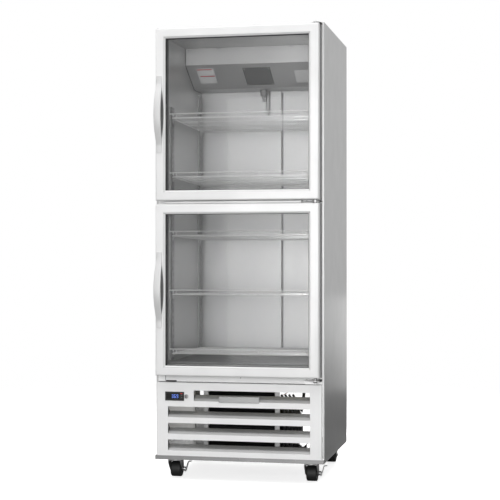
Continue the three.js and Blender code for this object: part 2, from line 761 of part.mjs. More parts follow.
// condenser coil: a finned block between folded end plates, with its tube bends on the right
function condenserCoil() {
  const front = FACE + 42;
  const rear = FACE + 88;
  const top = 385;
  const fins = box(-138, 138, front, rear, DECK + 6, top - 6);
  const plates = [-1, 1].map((side) => join(
    box(Math.min(side * 138, side * 140), Math.max(side * 138, side * 140), front, rear, DECK, top),
    box(Math.min(side * 138, side * 158), Math.max(side * 138, side * 158), front - 2, front, DECK, top),
  ));
  const bends = [];
  for (let i = 0; i < 4; i += 1) {
    const z = 130 + i * 60;
    const path = new THREE.CatmullRomCurve3([
      new THREE.Vector3(139, front + 23, z),
      new THREE.Vector3(147, front + 23, z + 3),
      new THREE.Vector3(151, front + 23, z + 12),
      new THREE.Vector3(147, front + 23, z + 21),
      new THREE.Vector3(139, front + 23, z + 24),
    ]);
    const section = new THREE.Shape();
    section.absarc(0, 0, 4, 0, Math.PI * 2);
    bends.push(solidFrom(new THREE.ExtrudeGeometry(section, {
      extrudePath: path, steps: 6, curveSegments: 3,
    })));
  }
  return join(fins, ...plates, ...bends);
}

// compressor: a domed can on a foot plate with four rubber mounts
function compressor() {
  const x = 115;
  const y = FACE + 330;
  const profile = [[0, 0], [62, 0], [84, 12], [88, 30], [88, 100], [80, 140], [55, 165], [0, 176]];
  const can = new THREE.LatheGeometry(profile.map(([r, z]) => new THREE.Vector2(r, z)), 20);
  can.rotateX(Math.PI / 2);
  can.translate(x, y, DECK + 24);
  const plate = box(x - 100, x + 100, y - 75, y + 75, DECK + 20, DECK + 26);
  const mounts = [];
  for (const dx of [-85, 85]) {
    for (const dy of [-60, 60]) {
      mounts.push(rod('z', 11, DECK, DECK + 21, [x + dx, y + dy], 16));
    }
  }
  return join(solidFrom(can), plate, ...mounts);
}

// electrical box, with the cord's gland on its rear wall
function electricalBox() {
  const left = -208;
  const right = -158;
  const front = FACE + 110;
  const rear = FACE + 238;
  const shell = box(left, right, front, rear, DECK, 292);
  const lid = box(left - 3, right + 3, front - 3, rear + 1, 289, 294);
  const gland = rod('y', 11, rear - 1, rear + 22, [(left + right) / 2, 130], 20);
  return join(shell, lid, gland);
}

function condensatePan() {
  const pan = box(-230, 40, FACE + 480, FACE + 630, DECK, DECK + 45);
  return cut(pan, box(-227, 37, FACE + 483, FACE + 627, DECK + 3, DECK + 60));
}

function addCondensingUnit() {
  piece('condenser_coil', condenserCoil(), finBlack);
  piece('compressor', compressor(), compressorBlack);
  piece('electrical_box', electricalBox(), coilAluminium);
  piece('condensate_pan', condensatePan(), whitePlastic);
  const outlet = new THREE.Group();
  outlet.position.set(CONDENSER_FAN.x, CONDENSER_FAN.y, CONDENSER_FAN.z);
  outlet.rotation.x = Math.PI / 2;
  merchandiser.add(outlet);
  piece('condenser_fan_shroud', fanHousing({
    width: 276, height: 280, plate: 3, throat: CONDENSER_FAN.throat, depth: 46, motor: 30,
    bars: [CONDENSER_FAN.throat + 1],
  }), finBlack, outlet);
  piece('condenser_fan', fanRotor({
    hub: CONDENSER_FAN.hub, tip: CONDENSER_FAN.tip, thick: 22, from: -36, blades: 5, chord: 44,
  }), blackPlastic, outlet);
}

// ---- casters -----------------------------------------------------------------------------------

const RACE_BOTTOM = 78;
const FORK_TOP = 81;
const PLATE_BOTTOM = FORK_TOP + GAP;
const LEG_INNER = WHEEL_HALF + 2.5;
const LEG_OUTER = LEG_INNER + 2.5;

// fork: a round bearing cap, two legs that sweep back to the axle, and the axle bolt
function casterFork(boltEnd) {
  const cap = join(
    rod('z', 31, 70, RACE_BOTTOM, [0, 0], 24),
    rod('z', 24, RACE_BOTTOM - 1, FORK_TOP, [0, 0], 16),
  );
  const leg = new THREE.Shape();
  leg.moveTo(-24, 72);
  leg.lineTo(-24, 62);
  leg.lineTo(TRAIL - 8, WHEEL_RADIUS - 6);
  leg.absarc(TRAIL, WHEEL_RADIUS, 10, Math.PI * 1.2, Math.PI * 2, false);
  leg.lineTo(TRAIL + 8, 62);
  leg.lineTo(24, 72);
  const bolt = rod('x', PIN_RADIUS, -LEG_OUTER - 3, boltEnd, [TRAIL, WHEEL_RADIUS], 12);
  return join(cap, barX(leg, -LEG_OUTER, -LEG_INNER), barX(leg, LEG_INNER, LEG_OUTER), bolt);
}

// wheel: a chamfered tread on a solid core, bored for the axle bolt; it stands on one of its flats
function casterWheel() {
  const bore = PIN_RADIUS + 0.4;
  const halfFlat = Math.PI / WHEEL_FLATS;
  const tread = WHEEL_RADIUS / Math.cos(halfFlat);
  const shoulder = tread - 5;
  const profile = [
    [bore, -WHEEL_HALF], [shoulder, -WHEEL_HALF], [tread, -WHEEL_HALF + 5],
    [tread, WHEEL_HALF - 5], [shoulder, WHEEL_HALF], [bore, WHEEL_HALF], [bore, -WHEEL_HALF],
  ];
  const wheel = new THREE.LatheGeometry(
    profile.map(([r, z]) => new THREE.Vector2(r, z)), WHEEL_FLATS, halfFlat,
  );
  wheel.rotateZ(-Math.PI / 2);
  wheel.translate(0, TRAIL, WHEEL_RADIUS);
  return solidFrom(wheel);
}

// side brake lever: a hub on the axle bolt, a leaning arm, and a flat pedal at its top
function brakeLever() {
  const start = LEG_OUTER + GAP;
  const hub = rod('x', 9, start, 38, [TRAIL, WHEEL_RADIUS], 24);
  const arm = outlineFrom([
    [34, 20], [38, 20], [50, 61], [61, 62], [61, 65], [47, 64],
  ]);
  const strap = slabY(arm, TRAIL - 8, TRAIL + 8);
  const bore = rod('x', PIN_RADIUS + 0.4, start - 1, 37, [TRAIL, WHEEL_RADIUS], 16);
  return cut(join(hub, strap), bore);
}

function addCasters() {
  const [frontY, rearY] = CASTER_Y;
  const places = [
    { name: 'front_left', x: -CASTER_X, y: frontY, braked: true },
    { name: 'front_right', x: CASTER_X, y: frontY, braked: true },
    { name: 'rear_left', x: -CASTER_X, y: rearY, braked: false },
    { name: 'rear_right', x: CASTER_X, y: rearY, braked: false },
  ];
  for (const { name, x, y, braked } of places) {
    const caster = new THREE.Group();
    caster.position.set(x, y, 0);
    merchandiser.add(caster);
    const plate = box(-30, 30, -30, 30, PLATE_BOTTOM, BASE_BOTTOM - GAP);
    piece(`${name}_caster_plate`, plate, zincSteel, caster);
    piece(`${name}_caster_fork`, casterFork(braked ? LEG_OUTER + 8 : LEG_OUTER + 3), zincSteel, caster);
    piece(`${name}_caster_wheel`, casterWheel(), treadRubber, caster);
    if (braked) {
      piece(`${name}_brake_lever`, brakeLever(), zincSteel, caster);
    }
  }
}

addShell();
addFront();
addCavity();
addEvaporator();
addHinges();
addDoors();
addCondensingUnit();
addCasters();

export default merchandiser;
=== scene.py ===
"""Looks for the glass door merchandiser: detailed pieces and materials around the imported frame."""

import math

import bpy
import bmesh
from mathutils import Matrix, Vector


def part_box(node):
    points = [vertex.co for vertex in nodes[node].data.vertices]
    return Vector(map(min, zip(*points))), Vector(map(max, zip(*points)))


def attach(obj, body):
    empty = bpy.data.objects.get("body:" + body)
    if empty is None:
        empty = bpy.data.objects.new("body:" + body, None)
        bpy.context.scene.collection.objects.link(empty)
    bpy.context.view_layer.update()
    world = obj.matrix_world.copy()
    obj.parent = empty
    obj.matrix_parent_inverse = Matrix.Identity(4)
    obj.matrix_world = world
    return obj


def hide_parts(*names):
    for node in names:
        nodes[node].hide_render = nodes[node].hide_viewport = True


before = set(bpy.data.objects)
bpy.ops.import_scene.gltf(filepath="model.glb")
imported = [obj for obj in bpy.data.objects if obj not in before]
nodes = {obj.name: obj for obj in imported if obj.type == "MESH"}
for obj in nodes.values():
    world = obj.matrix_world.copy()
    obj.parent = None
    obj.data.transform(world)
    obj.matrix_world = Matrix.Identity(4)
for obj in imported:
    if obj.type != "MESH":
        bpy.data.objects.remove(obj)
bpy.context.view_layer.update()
MM = 0.001

# ---- outlines and paths, in mm ------------------------------------------------------------------


def circle(radius, segments, turn=0.0):
    """Points round a circle."""
    angles = [turn + 2 * math.pi * i / segments for i in range(segments)]
    return [(radius * math.cos(a), radius * math.sin(a)) for a in angles]


def arc(centre, radius, start, end, steps):
    """Points on an arc in a plane, angles in degrees."""
    angles = [math.radians(start + (end - start) * i / steps) for i in range(steps + 1)]
    return [(centre[0] + radius * math.cos(a), centre[1] + radius * math.sin(a)) for a in angles]


def rounded_rectangle(left, right, low, high, radius, steps=4):
    """Points round a rectangle with round corners."""
    points = []
    for cx, cz, start in ((right - radius, high - radius, 0), (left + radius, high - radius, 90),
                          (left + radius, low + radius, 180), (right - radius, low + radius, 270)):
        points += arc((cx, cz), radius, start, start + 90, steps)
    return points


def inward_corners(rectangle):
    """Corners of an upright rectangle, each with the two directions that lead inwards."""
    left, right, low, high = rectangle
    return ((left, low, 1, 1), (right, low, -1, 1), (right, high, -1, -1), (left, high, 1, -1))


def smooth_path(points, steps=6):
    """A Catmull-Rom curve through points."""
    ends = [points[0], *points, points[-1]]
    path = []
    for i in range(1, len(ends) - 2):
        p0, p1, p2, p3 = (Vector(p) for p in ends[i - 1:i + 3])
        for k in range(steps):
            t = k / steps
            path.append(0.5 * (2 * p1 + (p2 - p0) * t + (2 * p0 - 5 * p1 + 4 * p2 - p3) * t ** 2
                               + (3 * p1 - p0 - 3 * p2 + p3) * t ** 3))
    path.append(Vector(points[-1]))
    return path

# ---- pieces -------------------------------------------------------------------------------------


def add_bevel(piece, width):
    """Rounds the sharp edges of a piece by width, in metres."""
    modifier = piece.modifiers.new("edge_round", "BEVEL")
    modifier.width = width
    modifier.segments = 2
    modifier.limit_method = "ANGLE"
    modifier.angle_limit = math.radians(32)
    modifier.harden_normals = True


class Piece:
    """A mesh built up in mm, in the row frame or where a matrix puts it, to ride on a CAD body."""

    def __init__(self, place=None):
        self.bm = bmesh.new()
        self.place = place

    def finish(self, name, material, body="cabinet", slot=None, replaces=None, smooth=40, bevel=0.0):
        """Turns the mesh into a piece with its material, shading, body and replaced CAD node; slot is not
        used.
        """
        if self.place is not None:
            self.bm.transform(self.place)
        bmesh.ops.remove_doubles(self.bm, verts=self.bm.verts, dist=1e-6)
        bmesh.ops.recalc_face_normals(self.bm, faces=self.bm.faces)
        mesh = bpy.data.meshes.new(name)
        self.bm.to_mesh(mesh)
        self.bm.free()
        piece = bpy.data.objects.new(name, mesh)
        bpy.context.scene.collection.objects.link(piece)
        mesh.materials.append(material)
        mesh.shade_smooth()
        mesh.set_sharp_from_angle(angle=math.radians(smooth))
        if bevel:
            add_bevel(piece, bevel)
        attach(piece, body)
        if replaces:
            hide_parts(replaces)

    def loft(self, rings, wrap=False):
        """Joins rings of the same number of points into one skin, closed at its ends or on itself."""
        made = [[self.bm.verts.new(Vector(p) * MM) for p in ring] for ring in rings]
        pairs = list(zip(made, made[1:]))
        if wrap:
            pairs.append((made[-1], made[0]))
        for first, second in pairs:
            for i in range(len(first)):
                j = (i + 1) % len(first)
                self.bm.faces.new((first[i], first[j], second[j], second[i]))
        if not wrap:
            self.bm.faces.new(made[0][::-1])
            self.bm.faces.new(made[-1])

    def box(self, corner, opposite):
        """A box between two opposite corners."""
        xs, ys, zs = (sorted(pair) for pair in zip(corner, opposite))
        corners = [self.bm.verts.new(Vector((x, y, z)) * MM) for x in xs for y in ys for z in zs]
        for face in ((0, 1, 3, 2), (4, 6, 7, 5), (0, 4, 5, 1), (2, 3, 7, 6), (0, 2, 6, 4), (1, 5, 7, 3)):
            self.bm.faces.new([corners[i] for i in face])

    def prism(self, outline, axis, start, end):
        """Extrudes a flat outline along an axis from start to end."""
        def place(u, v, w):
            return {"x": (w, u, v), "y": (u, w, v), "z": (u, v, w)}[axis]
        self.loft([[place(u, v, w) for u, v in outline] for w in (start, end)])

    def plate(self, left, right, low, high, radius, axis, start, end):
        """A flat plate with round corners, its faces at start and end along an axis."""
        self.prism(rounded_rectangle(left, right, low, high, radius), axis, start, end)

    def lathe(self, profile, centre=(0, 0, 0), axis="z", segments=32):
        """Turns (radius, height) points round an axis through centre."""
        rings = []
        for radius, height in profile:
            ring = []
            for u, v in circle(max(radius, 0.001), segments):
                offset = {"x": (height, u, v), "y": (v, height, u), "z": (u, v, height)}[axis]
                ring.append(tuple(c + o for c, o in zip(centre, offset)))
            rings.append(ring)
        self.loft(rings)

    def tube(self, points, radius, segments=8):
        """Sweeps a circle along points."""
        path = [Vector(p) for p in points]
        last = len(path) - 1
        tangents = [(path[min(i + 1, last)] - path[max(i - 1, 0)]).normalized() for i in range(last + 1)]
        side = tangents[0].orthogonal().normalized()
        rings = []
        for point, tangent in zip(path, tangents):
            side = (side - tangent * side.dot(tangent)).normalized()
            up = tangent.cross(side)
            rings.append([tuple(point + (side * u + up * v) * radius) for u, v in circle(1.0, segments)])
        self.loft(rings)

    def ring(self, outer, profile):
        """Sweeps a closed profile of (inset, y) points round an upright rectangle, mitred."""
        self.loft([[(x + sx * t, y, z + sz * t) for t, y in profile]
                   for x, z, sx, sz in inward_corners(outer)], wrap=True)

    def pan_head(self, point, axis, radius=4.0, height=2.0):
        """A cross-recess pan head screw; axis is the direction its head faces, such as '-y'."""
        out = -height if axis[0] == "-" else height
        dome = [(radius, 0), (radius, 0.35), (0.85 * radius, 0.75), (0.5 * radius, 1), (0.36 * radius, 1),
                (0.24 * radius, 0.45)]
        self.lathe([(r, out * h) for r, h in dome], point, axis[-1], 16)

    def hex_head(self, point, axis, across=10.0, height=5.0):
        """A hexagon bolt head on a washer."""
        out = -1 if axis[0] == "-" else 1
        self.lathe([(across * 0.75, 0), (across * 0.75, out * 1.2)], point, axis[-1], 24)
        head = [(across * 0.56, 1.2), (across * 0.56, height - 0.6), (across * 0.46, height)]
        self.lathe([(r, out * h) for r, h in head], point, axis[-1], 6)

# ---- materials ----------------------------------------------------------------------------------


def display(value):
    """Linear colour from the display value of a grey or of a red, green, blue triple."""
    levels = (value,) * 3 if isinstance(value, (int, float)) else value
    linear = [v / 12.92 if v <= 0.04045 else ((v + 0.055) / 1.055) ** 2.4 for v in levels]
    return (*linear, 1.0)


def shade(colour, factor):
    """A colour made lighter or darker."""
    return (*[min(1.0, c * factor) for c in colour[:3]], 1.0)


def set_inputs(node, **values):
    """Sets inputs of a shader node by name, with underscores for spaces."""
    for socket, value in values.items():
        node.inputs[socket.replace("_", " ")].default_value = value


def add_node(tree, kind, **values):
    """A new shader node with some of its inputs set."""
    made = tree.nodes.new("ShaderNode" + kind)
    set_inputs(made, **values)
    return made


def link(source, output, target, socket):
    """Joins an output of one shader node to an input of another."""
    source.id_data.links.new(source.outputs[output], target.inputs[socket])


def noise_node(tree, scale, stretch=(1, 1, 1)):
    """Noise in the piece's own coordinates, in features per metre, stretched along axes."""
    coordinates = add_node(tree, "TexCoord")
    mapping = add_node(tree, "Mapping", Scale=stretch)
    noise = add_node(tree, "TexNoise", Scale=scale, Detail=3.0)
    link(coordinates, "Object", mapping, "Vector")
    link(mapping, "Vector", noise, "Vector")
    return noise


def surface(name, tone, roughness, metallic=0.0, grain=900.0, stretch=(1, 1, 1), relief=0.15,
            depth=0.0002, mottle=0.03, mottle_scale=9.0, roughness_spread=0.05, **sockets):
    """A procedural surface: mottled colour, uneven roughness and a fine relief of grain or brushing."""
    made = bpy.data.materials.new(name)
    made.use_nodes = True
    tree = made.node_tree
    shader = tree.nodes["Principled BSDF"]
    set_inputs(shader, Metallic=metallic, **sockets)
    broad = noise_node(tree, mottle_scale)
    ramp = add_node(tree, "ValToRGB")
    for stop, position, factor in zip(ramp.color_ramp.elements, (0.3, 0.7), (1 - mottle, 1 + mottle)):
        stop.position = position
        stop.color = shade(display(tone), factor)
    link(broad, "Fac", ramp, "Fac")
    link(ramp, "Color", shader, "Base Color")
    fine = noise_node(tree, grain, stretch)
    spread = add_node(tree, "MapRange", From_Min=0.25, From_Max=0.75,
                      To_Min=max(0.02, roughness - roughness_spread),
                      To_Max=min(1.0, roughness + roughness_spread))
    link(fine, "Fac", spread, "Value")
    link(spread, "Result", shader, "Roughness")
    bump = add_node(tree, "Bump", Strength=relief, Distance=depth)
    link(fine, "Fac", bump, "Height")
    link(bump, "Normal", shader, "Normal")
    return made


def pane(name, tint, alpha):
    """Clear glass that lets light and view through, with gloss and a slight tint."""
    made = surface(name, tint, 0.04, grain=30.0, relief=0.02, mottle=0.02, roughness_spread=0.015, IOR=1.5,
                   Alpha=alpha)
    made.node_tree.nodes["Principled BSDF"].inputs["Specular IOR Level"].default_value = 0.9
    return made


UPRIGHT = (1, 1, 0.02)  # brushing along the height
ACROSS = (0.02, 1, 1)  # brushing along the width

skin_steel = surface("brushed_skin", 0.56, 0.36, 0.95, 700, UPRIGHT, 0.12, mottle=0.05)
front_paint = surface("front_paint", 0.95, 0.34, 0.0, 1400, relief=0.1, Coat_Weight=0.2)
door_paint = surface("door_paint", 0.935, 0.32, 0.0, 1500, relief=0.08, Coat_Weight=0.25)
grille_paint = surface("grille_paint", 0.95, 0.36, 0.0, 1400, relief=0.1, Coat_Weight=0.15)
# dark grey of the breaker strips, also used for painted shadow beside the duct and along the housing
breaker_and_shadow_grey = surface("breaker_strip_and_shadow", 0.46, 0.5, 0.0, 1500, relief=0.15)
hem_steel = surface("panel_hem", 0.82, 0.36, 0.25, 900, UPRIGHT, 0.08)
guard_grey = surface("guard_plastic", 0.4, 0.5, 0.0, 2200, relief=0.3)
bead_paint = surface("bead_paint", 0.9, 0.3, 0.0, 1400, relief=0.08, Coat_Weight=0.2)
base_steel = surface("base_steel", 0.6, 0.42, 0.8, 600, ACROSS, 0.12, mottle=0.06)
# a darker copy of the liner steel for the cavity floor: painted shade
shaded_floor_steel = surface("shaded_floor_steel", 0.50, 0.42, 0.66, 500, relief=0.1, mottle=0.03)
# a darker, slightly metallic white for the doors' right sides only: painted shade for the weaker light
# there
door_side_shade = surface("door_side_shade", 0.80, 0.4, 0.3, 1200, relief=0.1)
liner_steel = surface("liner_steel", 0.74, 0.4, 0.66, 500, UPRIGHT, 0.1, mottle=0.03)
cover_steel = surface("cover_steel", 0.72, 0.4, 0.5, 500, ACROSS, 0.1, mottle=0.04)
pilaster_steel = surface("pilaster_steel", 0.62, 0.36, 0.8, 600, UPRIGHT, 0.12)
handle_metal = surface("handle_metal", 0.85, 0.5, 0.12, 900, UPRIGHT, 0.06)
# dark grey for the oval under each handle: painted shade of the finger gap
lens_dark = surface("handle_backing", 0.40, 0.45, 0.1, 1200, relief=0.1)
badge_metal = surface("badge_metal", 0.62, 0.38, 0.8, 900, ACROSS, 0.12)
zinc = surface("zinc_plate", 0.7, 0.36, 0.85, 500, relief=0.15, mottle=0.12, mottle_scale=160)
galvanised = surface("galvanised_sheet", 0.62, 0.42, 0.8, 300, relief=0.12, mottle=0.16, mottle_scale=110)
screw_steel = surface("screw_steel", 0.62, 0.3, 0.9, 1500, relief=0.1)
wire_coat = surface("shelf_wire", 0.86, 0.32, 0.35, 1200, relief=0.08)
clip_metal = surface("clip_metal", 0.78, 0.34, 0.6, 900, relief=0.1)
hinge_plate = surface("hinge_plate", 0.9, 0.34, 0.25, 900, relief=0.1)
louvre_edge = surface("louvre_edge", 0.76, 0.36, 0.3, 700, ACROSS, 0.1)
louvre_steel = surface("louvre_steel", 0.72, 0.3, 0.7, 700, ACROSS, 0.1, mottle=0.06)
black_plastic = surface("black_plastic", 0.115, 0.42, 0.0, 2600, relief=0.35, mottle=0.08)
gloss_black = surface("display_window", 0.07, 0.1, 0.0, 60, relief=0.02, Coat_Weight=0.6)
key_grey = surface("key_plastic", 0.36, 0.5, 0.0, 2600, relief=0.3)
gasket_rubber = surface("gasket_rubber", 0.20, 0.62, 0.0, 1800, relief=0.3, mottle=0.08)
# near black of the glazing seals and spacers, also used for painted shade on the face frame, under the
# spare hinge cover and behind the pilaster slots
glazing_rubber_and_shade = surface("glazing_rubber_and_shade", 0.17, 0.55, 0.0, 1800, relief=0.3)
tread_rubber = surface("tread_rubber", 0.13, 0.58, 0.0, 1500, relief=0.4, mottle=0.12, mottle_scale=60)
hub_plastic = surface("hub_plastic", 0.3, 0.45, 0.0, 2000, relief=0.3)
foam = surface("foam_insulation", (0.89, 0.85, 0.62), 0.9, 0.0, 500, relief=0.6, depth=0.0006, mottle=0.1,
               mottle_scale=70)
# black of the fins, tubes and motors, also used for painted shade at the louvre ends
fin_and_shade_black = surface("fin_and_shade_black", 0.13, 0.45, 0.5, 900, relief=0.2, mottle=0.12, mottle_scale=40)
fin_aluminium = surface("fin_aluminium", 0.72, 0.35, 0.85, 450, (1, 0.05, 0.05), 0.6, depth=0.001)
copper = surface("copper_tube", (0.80, 0.50, 0.36), 0.3, 0.95, 700, relief=0.1, mottle=0.14,
                 mottle_scale=50)
black_enamel = surface("compressor_enamel", 0.10, 0.28, 0.1, 700, relief=0.12, Coat_Weight=0.3)
white_plastic = surface("white_plastic", 0.86, 0.42, 0.0, 1800, relief=0.2)
drain_grey = surface("drain_plastic", 0.58, 0.5, 0.0, 1500, relief=0.2)
compartment_white = surface("compartment_sheet", 0.9, 0.45, 0.1, 700, relief=0.12)
label_grey = surface("blank_label_grey", 0.8, 0.6, 0.0, 2500, relief=0.1)
label_paper = surface("blank_label", 0.82, 0.6, 0.0, 2500, relief=0.1)
label_band = surface("label_band", (0.72, 0.24, 0.24), 0.6, 0.0, 2500, relief=0.1)
digit_light = surface("lit_segment", (0.43, 0.55, 0.92), 0.4, 0.0, 900, relief=0.05,
                      Emission_Color=display((0.40, 0.53, 0.95)), Emission_Strength=0.7)
indicator_red = surface("indicator_red", (0.75, 0.16, 0.16), 0.35, 0.0, 900, relief=0.05,
                        Emission_Color=display((0.8, 0.15, 0.15)), Emission_Strength=0.3)
pane_glass = pane("door_pane", (0.42, 0.43, 0.43), 0.05)

# ---- positions shared with the frame ------------------------------------------------------------


def box_mm(node):
    """(lowest, highest) corner of a CAD node, in mm."""
    low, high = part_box(node)
    return low * 1000, high * 1000


def paint(material, *names):
    """Gives CAD nodes that stay in view their material."""
    for name in names:
        mesh = nodes[name].data
        mesh.materials.clear()
        mesh.materials.append(material)


FACE = box_mm("face_frame")[0].y
BACK = box_mm("back_panel")[1].y
TOP = box_mm("face_frame")[1].z
RAIL_LOW = box_mm("face_frame")[0].z
GRILLE_FRONT = box_mm("front_grille")[0].y
SHEET = 1.5
OPENING_X = 295.5
OPENINGS = ((478.0, 1090.0), (1162.0, 1795.0))
HINGE_X = 317.0
HINGE_Y = FACE - 47
HINGE_AXIS = (HINGE_X, HINGE_Y, 0)
STILE_X = 305.0
JOINT = 0.35  # half the width of a seam between sheets
SIDES = (("left", -1), ("right", 1))
upper_low, upper_high = box_mm("upper_door_frame")
lower_low, lower_high = box_mm("lower_door_frame")
gap_low, gap_high = lower_high.z, upper_low.z  # between the doors

# ---- doors --------------------------------------------------------------------------------------

EDGE_RADIUS = 7.0
BEAD_START = 34.0
BORDER = 40.5


def door(name):
    """Frame, glazing bead, panes, seals and handle of one door."""
    low, high = box_mm(f"{name}_door_frame")
    outer = (low.x, high.x, low.z, high.z)
    front, back = low.y, high.y
    body = f"{name}_door"

    p = Piece()
    edge = arc((EDGE_RADIUS, front + EDGE_RADIUS), EDGE_RADIUS, 180, 270, 6)
    p.ring(outer, [(1, back), (0, back - 1), *edge, (BEAD_START - JOINT, front),
                   (BEAD_START - JOINT, front + 2), (BEAD_START, front + 8), (30.2, front + 9.5),
                   (29.6, back - 1), (28.6, back)])
    p.finish(f"{name}_frame_rails", door_paint, body, slot="door_frame", replaces=f"{name}_door_frame")

    # the door's right side gets the darker white: painted shade, as less light falls on that side
    p = Piece()
    p.box((high.x - 0.3, front + EDGE_RADIUS, low.z + 2), (high.x + 0.05, back - 1.5, high.z - 2))
    p.finish(f"{name}_right_side_painted_shade", door_side_shade, body)

    p = Piece()
    p.ring(outer, [(BEAD_START, front + 1.2), (BEAD_START + 0.5, front + 0.3), (BORDER - 0.6, front + 4.2),
                   (BORDER, front + 4.9), (BORDER, front + 9.4), (BEAD_START, front + 9.4)])
    p.finish(f"{name}_glazing_bead", bead_paint, body)

    p = Piece()
    for x, z, sx, sz in inward_corners(outer):
        p.tube([(x + sx * t, front + 0.24 + 0.62 * (t - BEAD_START), z + sz * t)
                for t in (BEAD_START + 0.2, BORDER - 0.3)], 0.35, 6)
    p.finish(f"{name}_mitre_joints", glazing_rubber_and_shade, body)

    p = Piece()
    p.ring(outer, [(BORDER - 0.5, front + 7.6), (BORDER + 1.7, front + 8.6), (BORDER + 2.1, front + 10.2),
                   (BORDER - 0.5, front + 10.2)])
    p.finish(f"{name}_glazing_seal", glazing_rubber_and_shade, body)

    glass_low, glass_high = box_mm(f"{name}_door_glass")
    p = Piece()
    p.box(glass_low, (glass_high.x, glass_low.y + 4, glass_high.z))
    p.box((glass_low.x, glass_high.y - 4, glass_low.z), glass_high)
    p.finish(f"{name}_panes", pane_glass, body, replaces=f"{name}_door_glass", bevel=0.0008)

    p = Piece()
    p.ring(outer, [(32, glass_low.y + 4.1), (BORDER + 1.2, glass_low.y + 4.1),
                   (BORDER + 1.8, glass_low.y + 6), (BORDER + 1.8, glass_high.y - 6),
                   (BORDER + 1.2, glass_high.y - 4.1), (32, glass_high.y - 4.1)])
    p.finish(f"{name}_spacer", glazing_rubber_and_shade, body)

    near, far = back + 0.2, FACE - 0.5
    pleats = [(12.6 + 1.6 * (i % 2), near + (far - near) * i / 7) for i in range(8)]
    p = Piece()
    p.ring(outer, [*pleats, (26.4, far), (26.8, far - 4), (25.6, near + 6), (26.8, near)])
    p.finish(f"{name}_bellows_seal", gasket_rubber, body, replaces=f"{name}_door_gasket")
    door_handle(name, front, body)


def rise(z, reach, ease=1.0):
    """A round bow: 1 in the middle, 0 from reach outwards, blended into the flat by ease."""
    return max(0.0, 1 - (z / reach) ** 2) ** ease


def door_handle(name, door_front, body):
    """Bow handle between two flat pads, furthest out at its middle, over a dark oval plate that is painted
    shade for the finger gap.
    """
    low, high = box_mm(f"{name}_door_handle")
    x, middle, half = (low.x + high.x) / 2, (low.z + high.z) / 2, (high.z - low.z) / 2
    foot = door_front - 0.3
    gap_half, bow_half = 0.69 * half, 0.83 * half
    steps = 64
    rings = []
    for i in range(steps + 1):
        z = half * math.sin(math.pi * (i / steps - 0.5))
        bow_front = foot - 4 - (foot - 4.8 - low.y) * rise(z, bow_half, 1.35)
        bow_back = foot - (foot - low.y - 9.0) * rise(z, gap_half)
        width = 10.3 + 3.9 * rise(z, half)
        thick = (bow_back - bow_front) / 2
        centre = (bow_back + bow_front) / 2
        ring = []
        for u, v in rounded_rectangle(-width, width, -thick, thick, min(2.0, thick * 0.8)):
            crown = 0.6 * (1 - (u / width) ** 2) if v > 0 else 0.0
            ring.append((x + u, centre - v - crown, middle + z))
        rings.append(ring)
    p = Piece()
    p.loft(rings)
    p.finish(f"{name}_bow_handle", handle_metal, body, replaces=f"{name}_door_handle", smooth=50)

    # the dark oval under the bow is painted shade, standing for the shaded finger gap behind the handle
    lens_half, root_width, bulge = 107.0, 9.5, 8.5
    levels = [lens_half * (i / 12 - 1) for i in range(25)]
    outline = [(x + root_width + bulge * (1 - (z / lens_half) ** 2), middle + z) for z in levels]
    outline += [(x - root_width, middle + z) for z in reversed(levels)]
    p = Piece()
    p.prism(outline, "y", door_front - 0.9, door_front + 0.1)
    p.finish(f"{name}_handle_backing", lens_dark, body, bevel=0.0003)


for door_name in ("upper", "lower"):
    door(door_name)

# ---- face frame ---------------------------------------------------------------------------------

face_high = box_mm("face_frame")[1]
p = Piece()
for side in (-1, 1):
    p.box((side * face_high.x, FACE, RAIL_LOW), (side * (STILE_X + JOINT), FACE + SHEET, TOP))
BREAKER = STILE_X - JOINT - OPENING_X  # width of the dark plastic strip round each opening
for rail_low, rail_high in ((RAIL_LOW, OPENINGS[0][0] - BREAKER),
                            (OPENINGS[0][1] + BREAKER, OPENINGS[1][0] - BREAKER),
                            (OPENINGS[1][1] + BREAKER, TOP)):
    half = STILE_X - JOINT
    p.box((-half, FACE, rail_low), (half, FACE + SHEET, rail_high))
p.box((-STILE_X - 4, FACE + SHEET, RAIL_LOW), (-STILE_X + 4, FACE + 2.4, OPENINGS[0][0]))
p.finish("face_stiles_and_rails", front_paint, replaces="face_frame", bevel=0.0003)

p = Piece()
for opening_low, opening_high in OPENINGS:
    half = STILE_X - JOINT
    p.ring((-half, half, opening_low - BREAKER, opening_high + BREAKER),
           [(0.2, FACE + SHEET), (0.2, FACE - 0.2), (BREAKER - 1, FACE - 0.2), (BREAKER - 0.2, FACE + 0.8),
            (BREAKER - 0.2, FACE + 14), (BREAKER - 1.4, FACE + 14), (BREAKER - 1.4, FACE + SHEET)])
p.finish("breaker_strips", breaker_and_shadow_grey, slot="front_finish")

# dark strips on the face frame at its right edge, lower left and bottom: painted shadow of the gaps there
# over dark joint lines; and the white cap in the gap between the doors
SEAM_SHADOW_X, RAIL_END_X = 330.6, -308.6
p = Piece()
p.box((SEAM_SHADOW_X, FACE - 0.5, RAIL_LOW), (SEAM_SHADOW_X + 4.6, FACE + 0.4, TOP - 0.2))
p.box((RAIL_END_X, FACE - 0.5, RAIL_LOW + 4), (RAIL_END_X + 2, FACE + 0.4, OPENINGS[0][0] - 20))
p.box((-338, FACE - 0.4, RAIL_LOW - 0.2), (338, FACE + 0.4, RAIL_LOW + 2.2))
p.finish("face_gap_shadows", glazing_rubber_and_shade)
CAP_FRONT, CAP_RIGHT = FACE - 34, 258
p = Piece()
cap = [(FACE - 0.3, gap_low + 1.6), (CAP_FRONT + 2, gap_low + 1.6), (CAP_FRONT, gap_low + 3.6)]
cap += [(CAP_FRONT, gap_high - 3.8), (CAP_FRONT + 2, gap_high - 2.8), (FACE - 0.3, gap_high - 2.8)]
p.prism(cap, "x", -304, CAP_RIGHT)
